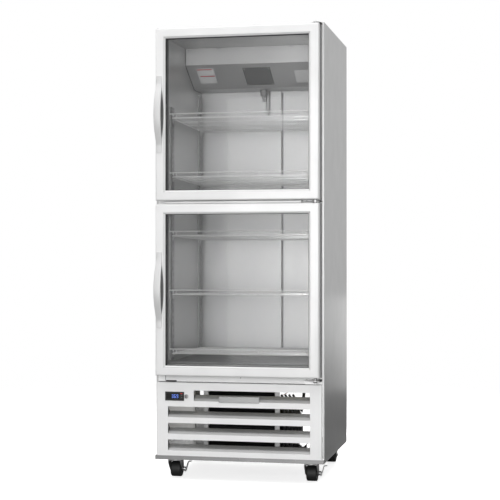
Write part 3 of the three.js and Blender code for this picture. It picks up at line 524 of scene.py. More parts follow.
p.finish("mullion_cap", door_paint, smooth=30)

mullion_low, mullion_high = OPENINGS[0][1], OPENINGS[1][0]
reach = OPENING_X - 8.6
p = Piece()
p.prism([(FACE + SHEET, mullion_low), (face_high.y, mullion_low), (face_high.y, mullion_high),
         (FACE + SHEET, mullion_high)], "x", -reach, reach)
p.finish("mullion_channel", liner_steel, bevel=0.0015)

# cover of the unused hinge pocket at the lower left, over a dark strip that is painted shadow under it
p = Piece()
p.plate(-306, -261, 398.6, 404.6, 2.6, "y", FACE - 0.3, FACE + 0.4)
p.finish("spare_hinge_shadow_strip", glazing_rubber_and_shade, slot="black_plastic")
p = Piece()
p.box((-307, FACE - 1.2, 405.4), (-258, FACE + 0.2, 409.4))
p.finish("spare_hinge_cover", front_paint, bevel=0.0005)

# ---- shell --------------------------------------------------------------------------------------

paint(skin_steel, "top_panel")
panel_low, panel_high = box_mm("back_panel")
foam_rear = box_mm("insulated_body")[1].y
PANEL_REAR = foam_rear + 0.45  # a sheet just behind the foam, with room for low screw heads
p = Piece()
p.plate(panel_low.x, panel_high.x, panel_low.z, panel_high.z, 4, "y", foam_rear + 0.05, PANEL_REAR)
p.finish("back_sheet", skin_steel, replaces="back_panel")
for side_name, side in SIDES:
    node = f"{side_name}_side_panel"
    low, high = box_mm(node)
    outer_x = low.x if side < 0 else high.x
    p = Piece()
    sheet = [(outer_x, low.y + 1.6), (outer_x, high.y), (outer_x - side * 20, high.y),
             (outer_x - side * 20, high.y - 1.2), (outer_x - side * 1.2, high.y - 1.2),
             (outer_x - side * 1.2, low.y + 1.6)]
    p.prism(sheet, "z", low.z, high.z)
    p.finish(f"{side_name}_side_skin", skin_steel, replaces=node, bevel=0.0005)
    p = Piece()
    hem = [(outer_x, low.y + 1.5), (outer_x - side * 0.3, low.y + 0.4), (outer_x - side * 1.0, low.y),
           (outer_x - side * 8, low.y), (outer_x - side * 8, low.y + 1.2),
           (outer_x - side * 1.2, low.y + 1.5)]
    p.prism(hem, "z", low.z, high.z)
    p.finish(f"{side_name}_side_hem", hem_steel, smooth=60)
paint(foam, "insulated_body")
paint(liner_steel, "inner_liner", "rear_air_panel")
# a thin sheet of the darker steel on the cavity floor: painted shade
p = Piece()
p.box((1 - OPENING_X, FACE + 12, OPENINGS[0][0] + 0.1),
      (OPENING_X - 1, box_mm("rear_air_panel")[0].y - 0.5, OPENINGS[0][0] + 0.9))
p.finish("shaded_cavity_floor", shaded_floor_steel, bevel=0.0003)
paint(base_steel, "base_frame")
paint(grille_paint, "front_grille")
paint(cover_steel, "evaporator_cover")
paint(fin_aluminium, "evaporator_coil")
for name in ("base_frame", "front_grille", "top_panel", "rear_air_panel", "evaporator_cover"):
    add_bevel(nodes[name], 0.0004)

# louvres: a bright rolled edge at each slot's sill, then a mirror-like slope up into the compartment
SLOT_SILLS = ((-184.0, 322.8), (-291.7, 256.0), (-291.7, 188.3), (-291.7, 121.1))
SLOT_RIGHT, SLOT_HEIGHT, LOUVRE_REACH, LOUVRE_RISE = 291.7, 44.0, 26.0, 24.0
slope = Vector((0, LOUVRE_REACH, LOUVRE_RISE))
lifted = Vector((0, -LOUVRE_RISE, LOUVRE_REACH)).normalized()


def louvre_sheet(p, left, sill, start, end, lift, thick):
    """A strip of sheet on a louvre, from one share of its slope to another."""
    foot = Vector((0, GRILLE_FRONT, sill))
    corners = [(left, start), (SLOT_RIGHT, start), (SLOT_RIGHT, end), (left, end)]
    p.loft([[tuple(foot + Vector((x, 0, 0)) + slope * share + lifted * h) for x, share in corners]
            for h in (lift, lift + thick)])


edges, slopes, shaded_gussets = Piece(), Piece(), Piece()
for left, sill in SLOT_SILLS:
    louvre_sheet(edges, left + 1, sill, 0.03, 0.42, 0.1, 0.5)
    louvre_sheet(slopes, left + 1, sill, 0.43, 0.99, 0.1, 0.3)
    # plates at both ends of each slot, the louvre's side walls, made near black: painted shade
    for x in (left + 0.3, SLOT_RIGHT - 0.8):
        shaded_gussets.prism([(GRILLE_FRONT + 1.4, sill + 2.4),
                       (GRILLE_FRONT + LOUVRE_REACH - 1, sill + LOUVRE_RISE),
                       (GRILLE_FRONT + 1.4, sill + SLOT_HEIGHT - 2)], "x", x, x + 0.5)
edges.finish("louvre_edges", louvre_edge)
slopes.finish("louvre_slopes", louvre_steel)
shaded_gussets.finish("louvre_shaded_gussets", fin_and_shade_black, slot="front_finish")

# light inner sheets on both sides of the service compartment
panel_inside = box_mm("right_side_panel")[1].x - 1.6
p = Piece()
for side in (-1, 1):
    p.box((side * (panel_inside - 0.6), FACE + 8, 125), (side * panel_inside, BACK - 24, 392))
p.finish("compartment_side_sheets", compartment_white)

BACK_ROWS = (430, 700, 970, 1240, 1510, 1800)
p = Piece()
for z in BACK_ROWS:
    for x in (-314, 0, 314) if z in (430, 1800) else (-314, 314):
        p.pan_head((x, PANEL_REAR - 0.02, z), "y", 4.2, BACK - PANEL_REAR)
for x in (-222.5, 5, 233):
    p.pan_head((x, GRILLE_FRONT + 0.1, 94.3), "-y", 3.4, 1.0)
p.pan_head((5, FACE + 0.05, 419), "-y", 2.2, 0.8)
for x in (-310, 310):
    for y in (FACE + 60, 60, BACK - 50):
        p.pan_head((x, y, TOP - 1.4), "z", 3.2, 1.3)
p.finish("shell_screws", screw_steel, smooth=30)

# upright stiffening folds and a blank service plate on the back
p = Piece()
for x in (-160, 160):
    p.prism([(x - 12, BACK - 1.6), (x + 12, BACK - 1.6), (x + 8, BACK - 0.05), (x - 8, BACK - 0.05)], "z",
            470, 1770)
p.finish("back_folds", skin_steel, smooth=25)
p = Piece()
p.plate(-60, 60, 1560, 1700, 6, "y", BACK - 1.0, BACK - 0.05)
p.finish("blank_service_plate", label_grey, slot="outer_skin")

# ---- controller, light switch and badge ---------------------------------------------------------

control_low, control_high = box_mm("temperature_controller")
control_front = control_low.y
left, right, bottom, top = control_low.x, control_high.x, control_low.z, control_high.z

p = Piece()
p.ring((left, right, bottom, top), [(0, control_front + 3.2), (0, control_front + 0.9),
                                    (0.9, control_front), (4.6, control_front), (5.6, control_front + 1.4),
                                    (5.6, control_front + 3.2)])
p.box((left + 5, control_front + 2.0, bottom + 5), (right - 5, control_front + 3.2, top - 5))
p.box((left + 4, control_front + 3.1, bottom + 3.5), (right - 4, control_high.y, top - 3.5))
p.finish("controller_bezel", black_plastic, replaces="temperature_controller", bevel=0.0004)

p = Piece()
p.plate(left + 7, right - 19, bottom + 7, top - 7, 1.5, "y", control_front + 1.2, control_front + 2.2)
p.finish("controller_window", gloss_black)

# lit digits: segments a to g of each digit
SEGMENTS = {"3": "abcdg", "6": "acdefg", "9": "abcdfg"}
digit_width, digit_height, stroke = 7.2, 14.0, 1.4
p = Piece()
x = left + 27
for digit in "36.9":
    middle = (bottom + top) / 2
    y = control_front + 1.0
    if digit == ".":
        p.box((x - 1.9, y, middle - digit_height / 2), (x - 0.4, y + 0.3, middle - digit_height / 2 + 1.5))
        continue
    half = digit_height / 2
    for segment in SEGMENTS[digit]:
        level = {"a": half - stroke, "g": -stroke / 2, "d": -half}.get(segment)
        if level is not None:
            p.box((x + stroke * 0.6, y, middle + level),
                  (x + digit_width - stroke * 0.6, y + 0.3, middle + level + stroke))
        else:
            edge = x if segment in "ef" else x + digit_width - stroke
            base = middle if segment in "bf" else middle - half
            p.box((edge, y, base + stroke * 0.6), (edge + stroke, y + 0.3, base + half - stroke * 0.6))
    x += digit_width + 3.0
p.finish("controller_digits", digit_light)

p = Piece()
p.plate(right - 15, right - 7, top - 8.5, top - 5.5, 1, "y", control_front - 0.1, control_front + 1.5)
p.finish("controller_indicator", indicator_red)

for key in ("up", "down"):
    low, high = box_mm(f"controller_{key}_key")
    radius, centre = (high.x - low.x) / 2, ((low.x + high.x) / 2, low.y, (low.z + high.z) / 2)
    p = Piece()
    p.lathe([(radius, high.y - low.y), (radius, 0.5), (radius - 0.5, 0), (0, 0.25)], centre, "y", 24)
    p.finish(f"{key}_key_cap", key_grey, f"controller_{key}_key", replaces=f"controller_{key}_key")

low, high = box_mm("light_switch")
flange = (high.x - low.x) / 2
switch_x, switch_z = (low.x + high.x) / 2, (low.z + high.z) / 2
p = Piece()
p.lathe([(flange - 2, high.y - low.y), (flange - 2, 8), (flange, 7.7), (flange, 4.2), (flange - 1.2, 3),
         (flange - 2.4, 3), (flange - 2.8, 4.4), (0, 4.4)], (switch_x, low.y, switch_z), "y", 40)
p.finish("switch_barrel", zinc, "light_switch", replaces="light_switch")
p = Piece()
p.plate(switch_x - 1.4, switch_x + 1.4, switch_z - 5.6, switch_z + 5.6, 1.2, "y", low.y + 0.1, low.y + 4.6)
p.finish("switch_thumb_bar", black_plastic, "light_switch", bevel=0.0003)

low, high = box_mm("badge_plate")
p = Piece()
p.plate(low.x, high.x, low.z, high.z, 3, "y", low.y + 0.6, high.y)
p.ring((low.x + 1.2, high.x - 1.2, low.z + 1.2, high.z - 1.2),
       [(0, low.y + 0.7), (0.4, low.y), (1.4, low.y), (1.8, low.y + 0.7)])
p.finish("blank_badge", badge_metal, replaces="badge_plate", bevel=0.0003)

# ---- cavity: pilasters, shelves, housing, labels ------------------------------------------------

SLOT_PITCH = 25.4
for side_name, side in SIDES:
    for end_name in ("front", "rear"):
        node = f"{side_name}_{end_name}_pilaster"
        low, high = box_mm(node)
        inner, wall = (high.x, low.x) if side < 0 else (low.x, high.x)
        web = inner + side * SHEET
        slot_near, slot_far = (low.y + (high.y - low.y) * share for share in (0.38, 0.62))
        p = Piece()
        for near, far in ((low.y, slot_near), (slot_far, high.y)):
            p.box((inner, near, low.z), (web, far, high.z))
        for y in (low.y, high.y - SHEET):
            p.box((inner, y, low.z), (wall, y + SHEET, high.z))
        for i in range(int((high.z - low.z) / SLOT_PITCH) + 1):
            z = low.z + i * SLOT_PITCH
            p.box((inner, slot_near, z), (web, slot_far, min(z + SLOT_PITCH * 0.45, high.z)))
        p.finish(f"{node}_channel", pilaster_steel, replaces=node)
        # a dark sheet at the wall behind each channel, seen through its slots: painted shade
        p = Piece()
        p.box((wall - side * 0.4, low.y + SHEET, low.z), (wall - side, high.y - SHEET, high.z))
        p.finish(f"{node}_backing", glazing_rubber_and_shade, slot="black_plastic")


def wire_shelf(index):
    """A welded shelf: round frame rods, deck wires front to back, and a raised front rail."""
    node = f"wire_shelf_{index}"
    low, high = box_mm(node)
    deck = high.z - 18
    front, rear = low.y + 2.5, high.y - 2.5
    x_left, x_right = low.x + 2.5, high.x - 2.5
    rear_z = low.z + 2.6
    p = Piece()
    rod = 2.5
    p.tube([(x_left, front, deck - rod), (x_right, front, deck - rod)], rod, 10)
    p.tube(smooth_path([(x_left + 2, front, deck + 6), (x_left + 3.4, front, deck + 13.6),
                        (x_left + 12, front, high.z - rod), (x_right - 26, front, high.z - rod),
                        (x_right - 15.4, front, deck + 13), (x_right - 14, front, deck + 4)], 5), rod, 10)
    for x in (-268, -92, 73, 252):
        p.tube([(x + 2, front + 0.2, deck - 1), (x + 2, front + 0.2, high.z - 3)], 1.9, 8)
    for y, share in ((front + 118, 0.25), (front + 246, 0.5), (front + 374, 0.75)):
        z = deck - 5.0 + (rear_z - deck + 3.6) * share
        p.tube([(x_left, y, z), (x_right, y, z)], 1.9, 8)
    p.finish(f"{node}_front_rails", wire_coat, replaces=node)

    p = Piece()
    for x in (x_left, x_right):
        p.tube(smooth_path([(x, front, deck - rod), (x, front + 90, deck - rod - 1.5),
                            (x, rear - 40, rear_z + 1.2), (x, rear, rear_z)], 4), rod, 8)
    p.tube([(x_left, rear, rear_z), (x_right, rear, rear_z)], rod, 8)
    p.finish(f"{node}_side_rods", wire_coat)

    p = Piece()
    wires = 50
    for i in range(1, wires):
        x = x_left + (x_right - x_left) * i / wires
        p.tube([(x, front - 0.6, deck + 0.4), (x, front + 3, deck + 1.3), (x, rear - 8, rear_z + 3.9),
                (x, rear - 0.5, rear_z + 3.0)], 1.5, 6)
    p.finish(f"{node}_deck_wires", wire_coat)

    p = Piece()
    for side_name, side in SIDES:
        for end_name in ("front", "rear"):
            near, far = box_mm(f"{side_name}_{end_name}_pilaster")
            inner = far.x if side < 0 else near.x
            y = (near.y + far.y) / 2
            z = deck - 8 if end_name == "front" else rear_z - 5
            p.prism([(y - 9, z - 12), (y + 9, z - 12), (y + 9, z + 14), (y + 2, z + 16), (y - 9, z + 4)],
                    "x", *sorted((inner - side * 0.2, inner - side * 1.9)))
            p.box((inner - side * 0.2, y - 9, z - 1.8), (inner - side * 8.6, y + 9, z))
            p.box((inner - side * 7, y - 9, z - 1.8), (inner - side * 8.6, y + 9, z + 5))
    p.finish(f"{node}_clips", clip_metal, bevel=0.0004)


for shelf_index in range(1, 6):
    wire_shelf(shelf_index)

# the evaporator housing's sloping face, from its bend at the front down to its heel at the rear
cover_low = box_mm("evaporator_cover")[0]
BEND = Vector((0, FACE + 262, 1723.6))
HEEL = Vector((0, FACE + 411, 1639.0))
along = (HEEL - BEND).normalized()
outward = Vector((0, along.z, -along.y))
FAN_CENTRE = Vector((9.3, FACE + 337.8, 0))
FAN_CENTRE.z = BEND.z + (HEEL.z - BEND.z) * (FAN_CENTRE.y - BEND.y) / (HEEL.y - BEND.y)


def on_slope(x, y, lift=0.0):
    """A point on the sloping face at x and y, raised out of it by lift."""
    share = (y - BEND.y) / (HEEL.y - BEND.y)
    return Vector((x, 0, 0)) + BEND.lerp(HEEL, share) + outward * lift


def slope_patch(p, x0, x1, y0, y1, lift, thick):
    """A thin flat patch on the sloping face; y counts from the cabinet's front face."""
    corners = ((x0, FACE + y0), (x1, FACE + y0), (x1, FACE + y1), (x0, FACE + y1))
    p.loft([[tuple(on_slope(x, y, h)) for x, y in corners] for h in (lift, lift + thick)])


p = Piece()
slope_patch(p, -253, -179, 284, 374, 0.1, 0.35)
p.finish("blank_label_left", label_paper)
p = Piece()
slope_patch(p, 168, 232, 310, 384, 0.1, 0.35)
p.finish("blank_label_right", label_grey)
p = Piece()
slope_patch(p, -251, -186, 288, 293, 0.4, 0.15)
slope_patch(p, -245, -181, 328, 333, 0.4, 0.15)
p.finish("label_bands", label_band)

# painted shadow where the housing meets the side walls, as a dark tube, its lighter heel flange, and the
# ceiling beads
p = Piece()
front_y = cover_low.y - 0.6
for side in (-1, 1):
    x = side * 293.6
    seam = [(x, front_y, 1793), (x, front_y, 1736), (x, front_y + 2, 1726)]
    seam += [tuple(on_slope(x, FACE + y, 0.8)) for y in (272, 320, 370, 400)]
    seam += [(x, FACE + 414, 1637.6), (x, FACE + 540, 1637.6)]
    p.tube(smooth_path(seam, 3), 1.7, 8)
p.finish("housing_side_shadow_tubes", breaker_and_shadow_grey, smooth=60)
p = Piece()
p.box((-291, HEEL.y - 4, HEEL.z - 1.4), (291, HEEL.y + 12, HEEL.z - 0.2))
p.finish("housing_heel_flange", cover_steel, bevel=0.0004)
p = Piece()
for side in (-1, 1):
    p.tube([(side * 294.3, FACE + 18, 1793.8), (side * 294.3, front_y - 1, 1793.8)], 1.3, 8)
    p.pan_head((side * 295.3, 196, 1774), "x" if side < 0 else "-x", 3.2, 1.3)
    p.pan_head((side * 295.3, FACE + 212, 1762), "x" if side < 0 else "-x", 3.2, 1.3)
p.finish("ceiling_beads", screw_steel, smooth=30)

# painted shadow beside the raised duct of the air panel, as a dark strip, and the folded seam on its other
# edge
DUCT_LEFT, DUCT_RIGHT, DUCT_TOP = -50.0, 70.0, 1632.0
duct_front = box_mm("rear_air_panel")[0].y
p = Piece()
p.box((DUCT_RIGHT + 0.4, duct_front + 10.8, 470), (DUCT_RIGHT + 8.0, duct_front + 11.7, DUCT_TOP))
p.finish("duct_painted_shadow", breaker_and_shadow_grey)
p = Piece()
p.box((DUCT_LEFT + 0.4, duct_front - 0.5, 470), (DUCT_LEFT + 2.2, duct_front - 0.1, DUCT_TOP))
p.finish("duct_folded_seam", pilaster_steel)

# drain: a stepped funnel with a turned-down spout, and the conduit that runs down the air panel
DRAIN_X, DRAIN_Y, CONDUIT_X = 1.0, FACE + 486, 12.0
drain_low, drain_high = box_mm("drain_fitting")
p = Piece()
funnel = [(0, 0), (16.4, 0), (16.4, -4), (14.6, -5), (13.4, -24), (10.4, -27), (7.2, -28), (7.2, -36),
          (6, -37.5), (5.6, -53), (4.2, -53.8), (0, -50)]
p.lathe(funnel, (DRAIN_X, DRAIN_Y, drain_high.z))
p.tube(smooth_path([(DRAIN_X, DRAIN_Y + 6, drain_high.z - 14),
                    (DRAIN_X + 6, DRAIN_Y + 22, drain_high.z - 16),
                    (CONDUIT_X - 2, drain_high.y - 9, drain_high.z - 18)], 5), 5.0, 12)
p.finish("drain_funnel", drain_grey, replaces="drain_fitting", smooth=40)
p = Piece()
p.tube(smooth_path([(CONDUIT_X, drain_high.y - 7.2, drain_high.z - 2),
                    (CONDUIT_X, drain_high.y - 7.2, drain_low.z + 6),
                    (CONDUIT_X, drain_high.y - 6.8, drain_low.z + 0.5)], 4), 5.2, 16)
p.finish("drain_conduit", clip_metal, smooth=50)
p = Piece()
for x in (CONDUIT_X - 7.6, CONDUIT_X + 7.6):
    p.tube([(x, drain_high.y - 2.6, drain_high.z - 1), (x, drain_high.y - 2.6, drain_low.z + 1)], 2.3, 10)
p.finish("conduit_edges", breaker_and_shadow_grey, slot="black_plastic", smooth=50)

p = Piece()
for x in (-285, -100, 130, 285):
    for y in (272, 402):
        p.pan_head(tuple(on_slope(x, FACE + y, 0.1)), "-z", 2.8, 1.2)
for x in (-280, 280):
    p.pan_head((x, cover_low.y - 0.1, 1786), "-y", 2.8, 1.2)
for x in (-149, 166):
    p.box((x - 5, cover_low.y - 1.6, 1789), (x + 5, cover_low.y - 0.1, 1794.6))
for x in (-180, -40, 100, 240):
    p.pan_head((x, FACE + 150, 1794.9), "-z", 3.0, 1.3)
for z in (560, 900, 1240, 1560):
    for x in (-262, 262):
        p.pan_head((x, box_mm("rear_air_panel")[0].y + 11.6, z), "-y", 3.0, 1.3)
p.finish("cavity_screws", screw_steel, smooth=30)

# ---- fans ---------------------------------------------------------------------------------------


def fan_matrix(centre, axis):
    """Places a fan that is built round its own Z axis, outlet on +Z, into the row frame."""
    z = Vector(axis).normalized()
    x = Vector((1, 0, 0))
    y = z.cross(x)
    matrix = Matrix((x, y, z)).transposed().to_4x4()
    matrix.translation = Vector(centre) * MM
    return matrix


def spoke(radius, angle, level):
    """A point at a radius and an angle round an axis."""
    return (radius * math.cos(angle), radius * math.sin(angle), level)


def add_holed_plate(p, half_u, half_v, radius, low, high, steps=64):
    """A rectangular plate with a round hole, in its own plane."""
    directions = circle(1.0, steps)
    hole = [(radius * c, radius * s) for c, s in directions]
    edge = []
    for c, s in directions:
        out = min(half_u / max(abs(c), 1e-6), half_v / max(abs(s), 1e-6))
        edge.append((out * c, out * s))
    p.loft([[(u, v, z) for u, v in ring] for ring, z in ((edge, low), (edge, high), (hole, high),
                                                         (hole, low))], wrap=True)


def add_blade(p, turn, hub, tip, chord_root, chord_tip, pitch_root, pitch_tip, middle, sweep, thick=1.5):
    """A cambered, twisted fan blade with a rounded tip."""
    stations, across = 9, 8
    rings = []
    for k in range(stations):
        share = k / (stations - 1)
        radius = hub + (tip - hub) * share
        chord = (chord_root + (chord_tip - chord_root) * share) * (1.0 if share < 0.9 else 0.86)
        pitch = math.radians(pitch_root + (pitch_tip - pitch_root) * share)
        lead = math.radians(sweep) * share ** 1.5
        upper, lower = [], []
        for j in range(across + 1):
            s = j / across - 0.5
            camber = 0.1 * chord * (1 - 4 * s * s)
            u = s * chord * math.cos(pitch)
            w = s * chord * math.sin(pitch) + camber
            a = turn + lead + u / radius
            edge = thick / 2 * (0.35 + 0.65 * (1 - 4 * s * s))
            upper.append(spoke(radius, a, middle + w + edge))
            lower.append(spoke(radius, a, middle + w - edge))
        rings.append(upper + lower[::-1])
    p.loft(rings)


STRUT_ANGLES = [0.4 + 2 * math.pi * i / 3 for i in range(3)]

# evaporator fan
place = fan_matrix(FAN_CENTRE + outward * 0.3, outward)
p = Piece(place)
add_holed_plate(p, 59.4, 59.4, 53.5, 0.1, 2.6)
p.lathe([(55.5, -29.5), (55.5, 0.2), (53.5, 0.2), (53.5, -29.5)], segments=48)
GRID_PITCH, GRID_REACH = 4.3, 56.6
for i in range(-13, 14):
    level = i * GRID_PITCH
    p.tube([(-GRID_REACH, level, 3.3), (GRID_REACH, level, 3.3)], 1.35, 6)
    p.tube([(level, -GRID_REACH, 2.6), (level, GRID_REACH, 2.6)], 1.35, 6)
p.finish("evaporator_guard_grid", guard_grey, replaces="evaporator_fan_guard", smooth=35)
p = Piece(place)
for u in (-54, 54):
    for v in (-54, 54):
        p.lathe([(4.4, 3.0), (4.4, 4.6), (3.2, 5.4), (0, 5.6)], (u, v, 0), "z", 24)
p.finish("guard_screws", screw_steel, smooth=30)
p = Piece(place)
p.lathe([(15, -51), (15, -30), (13, -26.5), (0, -26.5)])
for a in STRUT_ANGLES:
    p.tube([spoke(13, a, -28.5), spoke(54, a, -28.5)], 1.3, 6)
p.finish("evaporator_fan_motor", fin_and_shade_black, smooth=35)
p = Piece(place)
p.lathe([(18, -24), (18, -10.5), (16, -8.2), (0, -8.2)])
for i in range(5):
    add_blade(p, 2 * math.pi * i / 5, 17, 49.6, 24, 29, 26, 17, -16.8, 16)
p.finish("evaporator_rotor", fin_and_shade_black, "evaporator_fan", replaces="evaporator_fan", smooth=50)

# condenser fan, shroud and motor
shroud_low, shroud_high = box_mm("condenser_fan_shroud")
CONDENSER_AXIS = ((shroud_low.x + shroud_high.x) / 2, FACE + 92, 236.0)
place = fan_matrix(CONDENSER_AXIS, (0, -1, 0))
p = Piece(place)
add_holed_plate(p, 138, 140, 112.2, 0.2, 2.8)
p.lathe([(114.5, -45.6), (114.5, 0.4), (112, 0.4), (112, -44), (113, -45.6)], segments=64)
for a in STRUT_ANGLES:
    p.tube([spoke(20, a, -44), spoke(113, a, -44)], 2.6, 8)
p.finish("condenser_shroud_ring", fin_and_shade_black, replaces="condenser_fan_shroud", smooth=35)
p = Piece(place)
p.lathe([(0, -67.8), (24, -67.8), (29.8, -64), (29.8, -46), (26, -42.2), (0, -42.2)], segments=40)
for i in range(12):
    p.tube([spoke(29.6, math.pi * i / 6, z) for z in (-63, -47)], 0.9, 6)
p.finish("condenser_fan_motor", black_enamel, smooth=35)
p = Piece(place)
p.lathe([(33.8, -36), (33.8, -18), (30, -14.4), (0, -14.4)], segments=40)
for i in range(5):
    add_blade(p, 2 * math.pi * i / 5, 32, 105.5, 48, 56, 24, 14, -25.5, 18, 1.8)
p.finish("condenser_rotor", white_plastic, "condenser_fan", slot="black_plastic", replaces="condenser_fan",
         smooth=50)

# ---- hinges -------------------------------------------------------------------------------------


def hinge(name, arm_low, arm_high, plate_low, plate_high, left, pins, knuckle):
    """A folded plate on the face frame, an arm out to the pivot, and a pin through a round knuckle."""
    node = f"{name}_hinge_bracket"
    right = 337.8
    rear = FACE - 0.3
    p = Piece()
    p.plate(left, right, plate_low, plate_high, 2.0, "y", rear - 2, rear)
    arm = [(left, rear), (left, rear - 9), (HINGE_X - 13, HINGE_Y + 6)]
    arm += arc((HINGE_X, HINGE_Y), 9, 200, 340, 10)
    arm += [(right, rear - 22), (right, rear)]
    p.prism(arm, "z", arm_low, arm_high)
    p.finish(f"{name}_hinge_plate", hinge_plate, replaces=node, bevel=0.0006)
    p = Piece()
    cover = [(HINGE_X + 8, HINGE_Y - 1), (right + 0.2, rear - 24), (right + 0.2, rear - 2.5),
             (HINGE_X + 8, rear - 2.5)]
    p.prism(cover, "z", arm_low - 0.6, arm_high + 2.4)
    p.finish(f"{name}_hinge_end_cover", black_plastic, bevel=0.0008)
    p = Piece()
    for low, high in pins:
        p.lathe([(4, low), (4, high)], HINGE_AXIS, "z", 24)
    p.lathe([(7, knuckle[0]), (7, knuckle[1] - 0.8), (6.2, knuckle[1])], HINGE_AXIS)
    p.finish(f"{name}_hinge_pin", screw_steel, smooth=35)
    p = Piece()
    span = plate_high - plate_low
    for x in (left + 8, left + 30):
        p.pan_head((x, rear - 2, plate_high - span * 0.3), "-y", min(3.0, span * 0.3), 1.1)
    p.finish(f"{name}_hinge_screws", screw_steel, smooth=30)


gap_middle = (gap_low + gap_high) / 2
hinge("top", upper_high.z + 1.4, upper_high.z + 5.4, upper_high.z + 1, upper_high.z + 10, 280,
      [(upper_high.z - 9, upper_high.z + 1.5)], (upper_high.z + 0.3, upper_high.z + 8))
hinge("middle", gap_middle - 2, gap_middle + 2, gap_low + 1, gap_high - 1, 268,
      [(gap_low - 9, gap_low + 1), (gap_high - 1, gap_high + 9)], (gap_low + 0.3, gap_high - 0.3))
hinge("bottom", lower_low.z - 15, lower_low.z - 10, RAIL_LOW + 1, lower_low.z - 3, 268,
      [(lower_low.z - 1, lower_low.z + 9)], (lower_low.z - 15, lower_low.z - 0.3))

# self-closing cartridge body round the pivot, under the lower door's corner
p = Piece()
p.lathe([(6, lower_low.z - 18.5), (8.6, lower_low.z - 17.5), (8.6, lower_low.z - 15.2),
         (6, lower_low.z - 15)], HINGE_AXIS, "z", 32)
p.finish("closer_nut", black_plastic, smooth=35)

# ---- condensing unit ----------------------------------------------------------------------------

coil_low, coil_high = box_mm("condenser_coil")
coil_half = 138.0
coil_front, coil_rear = FACE + 42, FACE + 88
FIN_PITCH = 4.0
p = Piece()
for i in range(1, int(2 * coil_half / FIN_PITCH)):
    x = -coil_half + i * FIN_PITCH
    p.box((x - 0.15, coil_front + 1, coil_low.z + 6), (x + 0.15, coil_rear - 1, coil_high.z - 6))
p.finish("condenser_fins", fin_and_shade_black, slot="coil_fins", replaces="condenser_coil")

p = Piece()
TUBE_ROWS = [coil_low.z + 24 + 25.4 * i for i in range(11)]
for share in (0.27, 0.73):
    y = coil_front + (coil_rear - coil_front) * share
    for z in TUBE_ROWS:
        p.tube([(-coil_half - 3, y, z), (coil_half + 3, y, z)], 4.4, 10)
    for side, rows in ((1, range(0, 10, 2)), (-1, range(1, 10, 2))):
        for i in rows:
            z0, z1 = TUBE_ROWS[i], TUBE_ROWS[i + 1]
            bend = [(side * (coil_half + 2 + 10 * math.sin(math.pi * k / 8)), y,
                     z0 + (z1 - z0) * (1 - math.cos(math.pi * k / 8)) / 2) for k in range(9)]
            p.tube(bend, 4.0, 10)
p.finish("condenser_tubes", fin_and_shade_black, slot="coil_fins", smooth=50)

p = Piece()
for side in (-1, 1):
    for width, near, far in ((2, coil_front, coil_rear), (20, coil_front - 2, coil_front - 0.2)):
        p.box((side * coil_half, near, coil_low.z), (side * (coil_half + width), far, coil_high.z))
p.finish("condenser_end_plates", galvanised, bevel=0.0005)
p = Piece()
p.tube([(-coil_half, coil_front - 3.5, 236), (coil_half, coil_front - 3.5, 236)], 1.6, 8)
for z in (110, 236, 365):
    for side in (-1, 1):
        p.pan_head((side * (coil_half + 12), coil_front - 2, z), "-y", 3.2, 1.6)
p.finish("condenser_tie_rod", screw_steel, smooth=35)

can_low = box_mm("compressor")[0]
CAN_X, CAN_Y = 115.0, FACE + 330
FEET = [(CAN_X + dx, CAN_Y + dy) for dx in (-85, 85) for dy in (-60, 60)]
can_base = can_low.z + 24
p = Piece()
profile = [(0, 0), (60, 0), (74, 4), (84, 12), (87.4, 22), (88, 34)]
profile += [(88, 84), (89.2, 86), (89.2, 92), (88, 94), (87.6, 106), (85.4, 120), (80, 137)]
profile += [(71, 151), (58, 163), (40, 171), (20, 175), (0, 176)]
p.lathe([(min(r, 88), h) for r, h in profile], (CAN_X, CAN_Y, can_base), "z", 64)
p.plate(CAN_X - 30, CAN_X + 30, can_base + 60, can_base + 118, 8, "y", CAN_Y - 100, CAN_Y - 74)
p.finish("compressor_can", black_enamel, replaces="compressor", smooth=45, bevel=0.0015)
p = Piece()
p.plate(CAN_X - 100, CAN_X + 100, CAN_Y - 75, CAN_Y + 75, 14, "z", can_low.z + 20.5, can_low.z + 25.5)
p.finish("compressor_foot", black_enamel, bevel=0.0008)
p = Piece()
grommet = [(9, 0), (11, 1.5), (11, 6), (8.6, 8), (8.6, 11), (11, 13), (11, 18.6), (9, 20.2)]
for x, y in FEET:
    p.lathe(grommet, (x, y, can_low.z), "z", 24)
p.finish("compressor_grommets", tread_rubber, smooth=35)
p = Piece()
for x, y in FEET:
    p.hex_head((x, y, can_low.z + 25.5), "z", 9, 5.5)
p.finish("compressor_bolts", screw_steel, smooth=30)

# refrigerant lines: discharge to the coil, suction up the back, and a filter drier
p = Piece()
discharge = [(CAN_X - 70, CAN_Y - 40, can_base + 112), (CAN_X - 84, CAN_Y - 52, can_base + 122),
             (CAN_X - 92, CAN_Y - 80, can_base + 128), (CAN_X - 70, CAN_Y - 130, can_base + 140),
             (CAN_X - 36, CAN_Y - 190, can_base + 196), (CAN_X - 14, CAN_Y - 225, can_base + 214),
             (coil_half + 8, coil_rear - 12, TUBE_ROWS[10] + 2),
             (coil_half + 2, coil_rear - 12, TUBE_ROWS[10])]
p.tube(smooth_path(discharge, 8), 3.2, 10)
suction = [(CAN_X + 56, CAN_Y + 44, can_base + 108), (CAN_X + 66, CAN_Y + 58, can_base + 122),
           (CAN_X + 70, CAN_Y + 90, can_base + 150), (CAN_X + 66, CAN_Y + 150, can_base + 196),
           (CAN_X + 60, CAN_Y + 200, can_base + 236), (CAN_X + 56, CAN_Y + 226, can_base + 262),
           (169, CAN_Y + 232, 400)]
insulation = Piece()
insulation.tube(smooth_path(suction, 8), 6.5, 12)
insulation.finish("suction_line_insulation", tread_rubber, smooth=60)
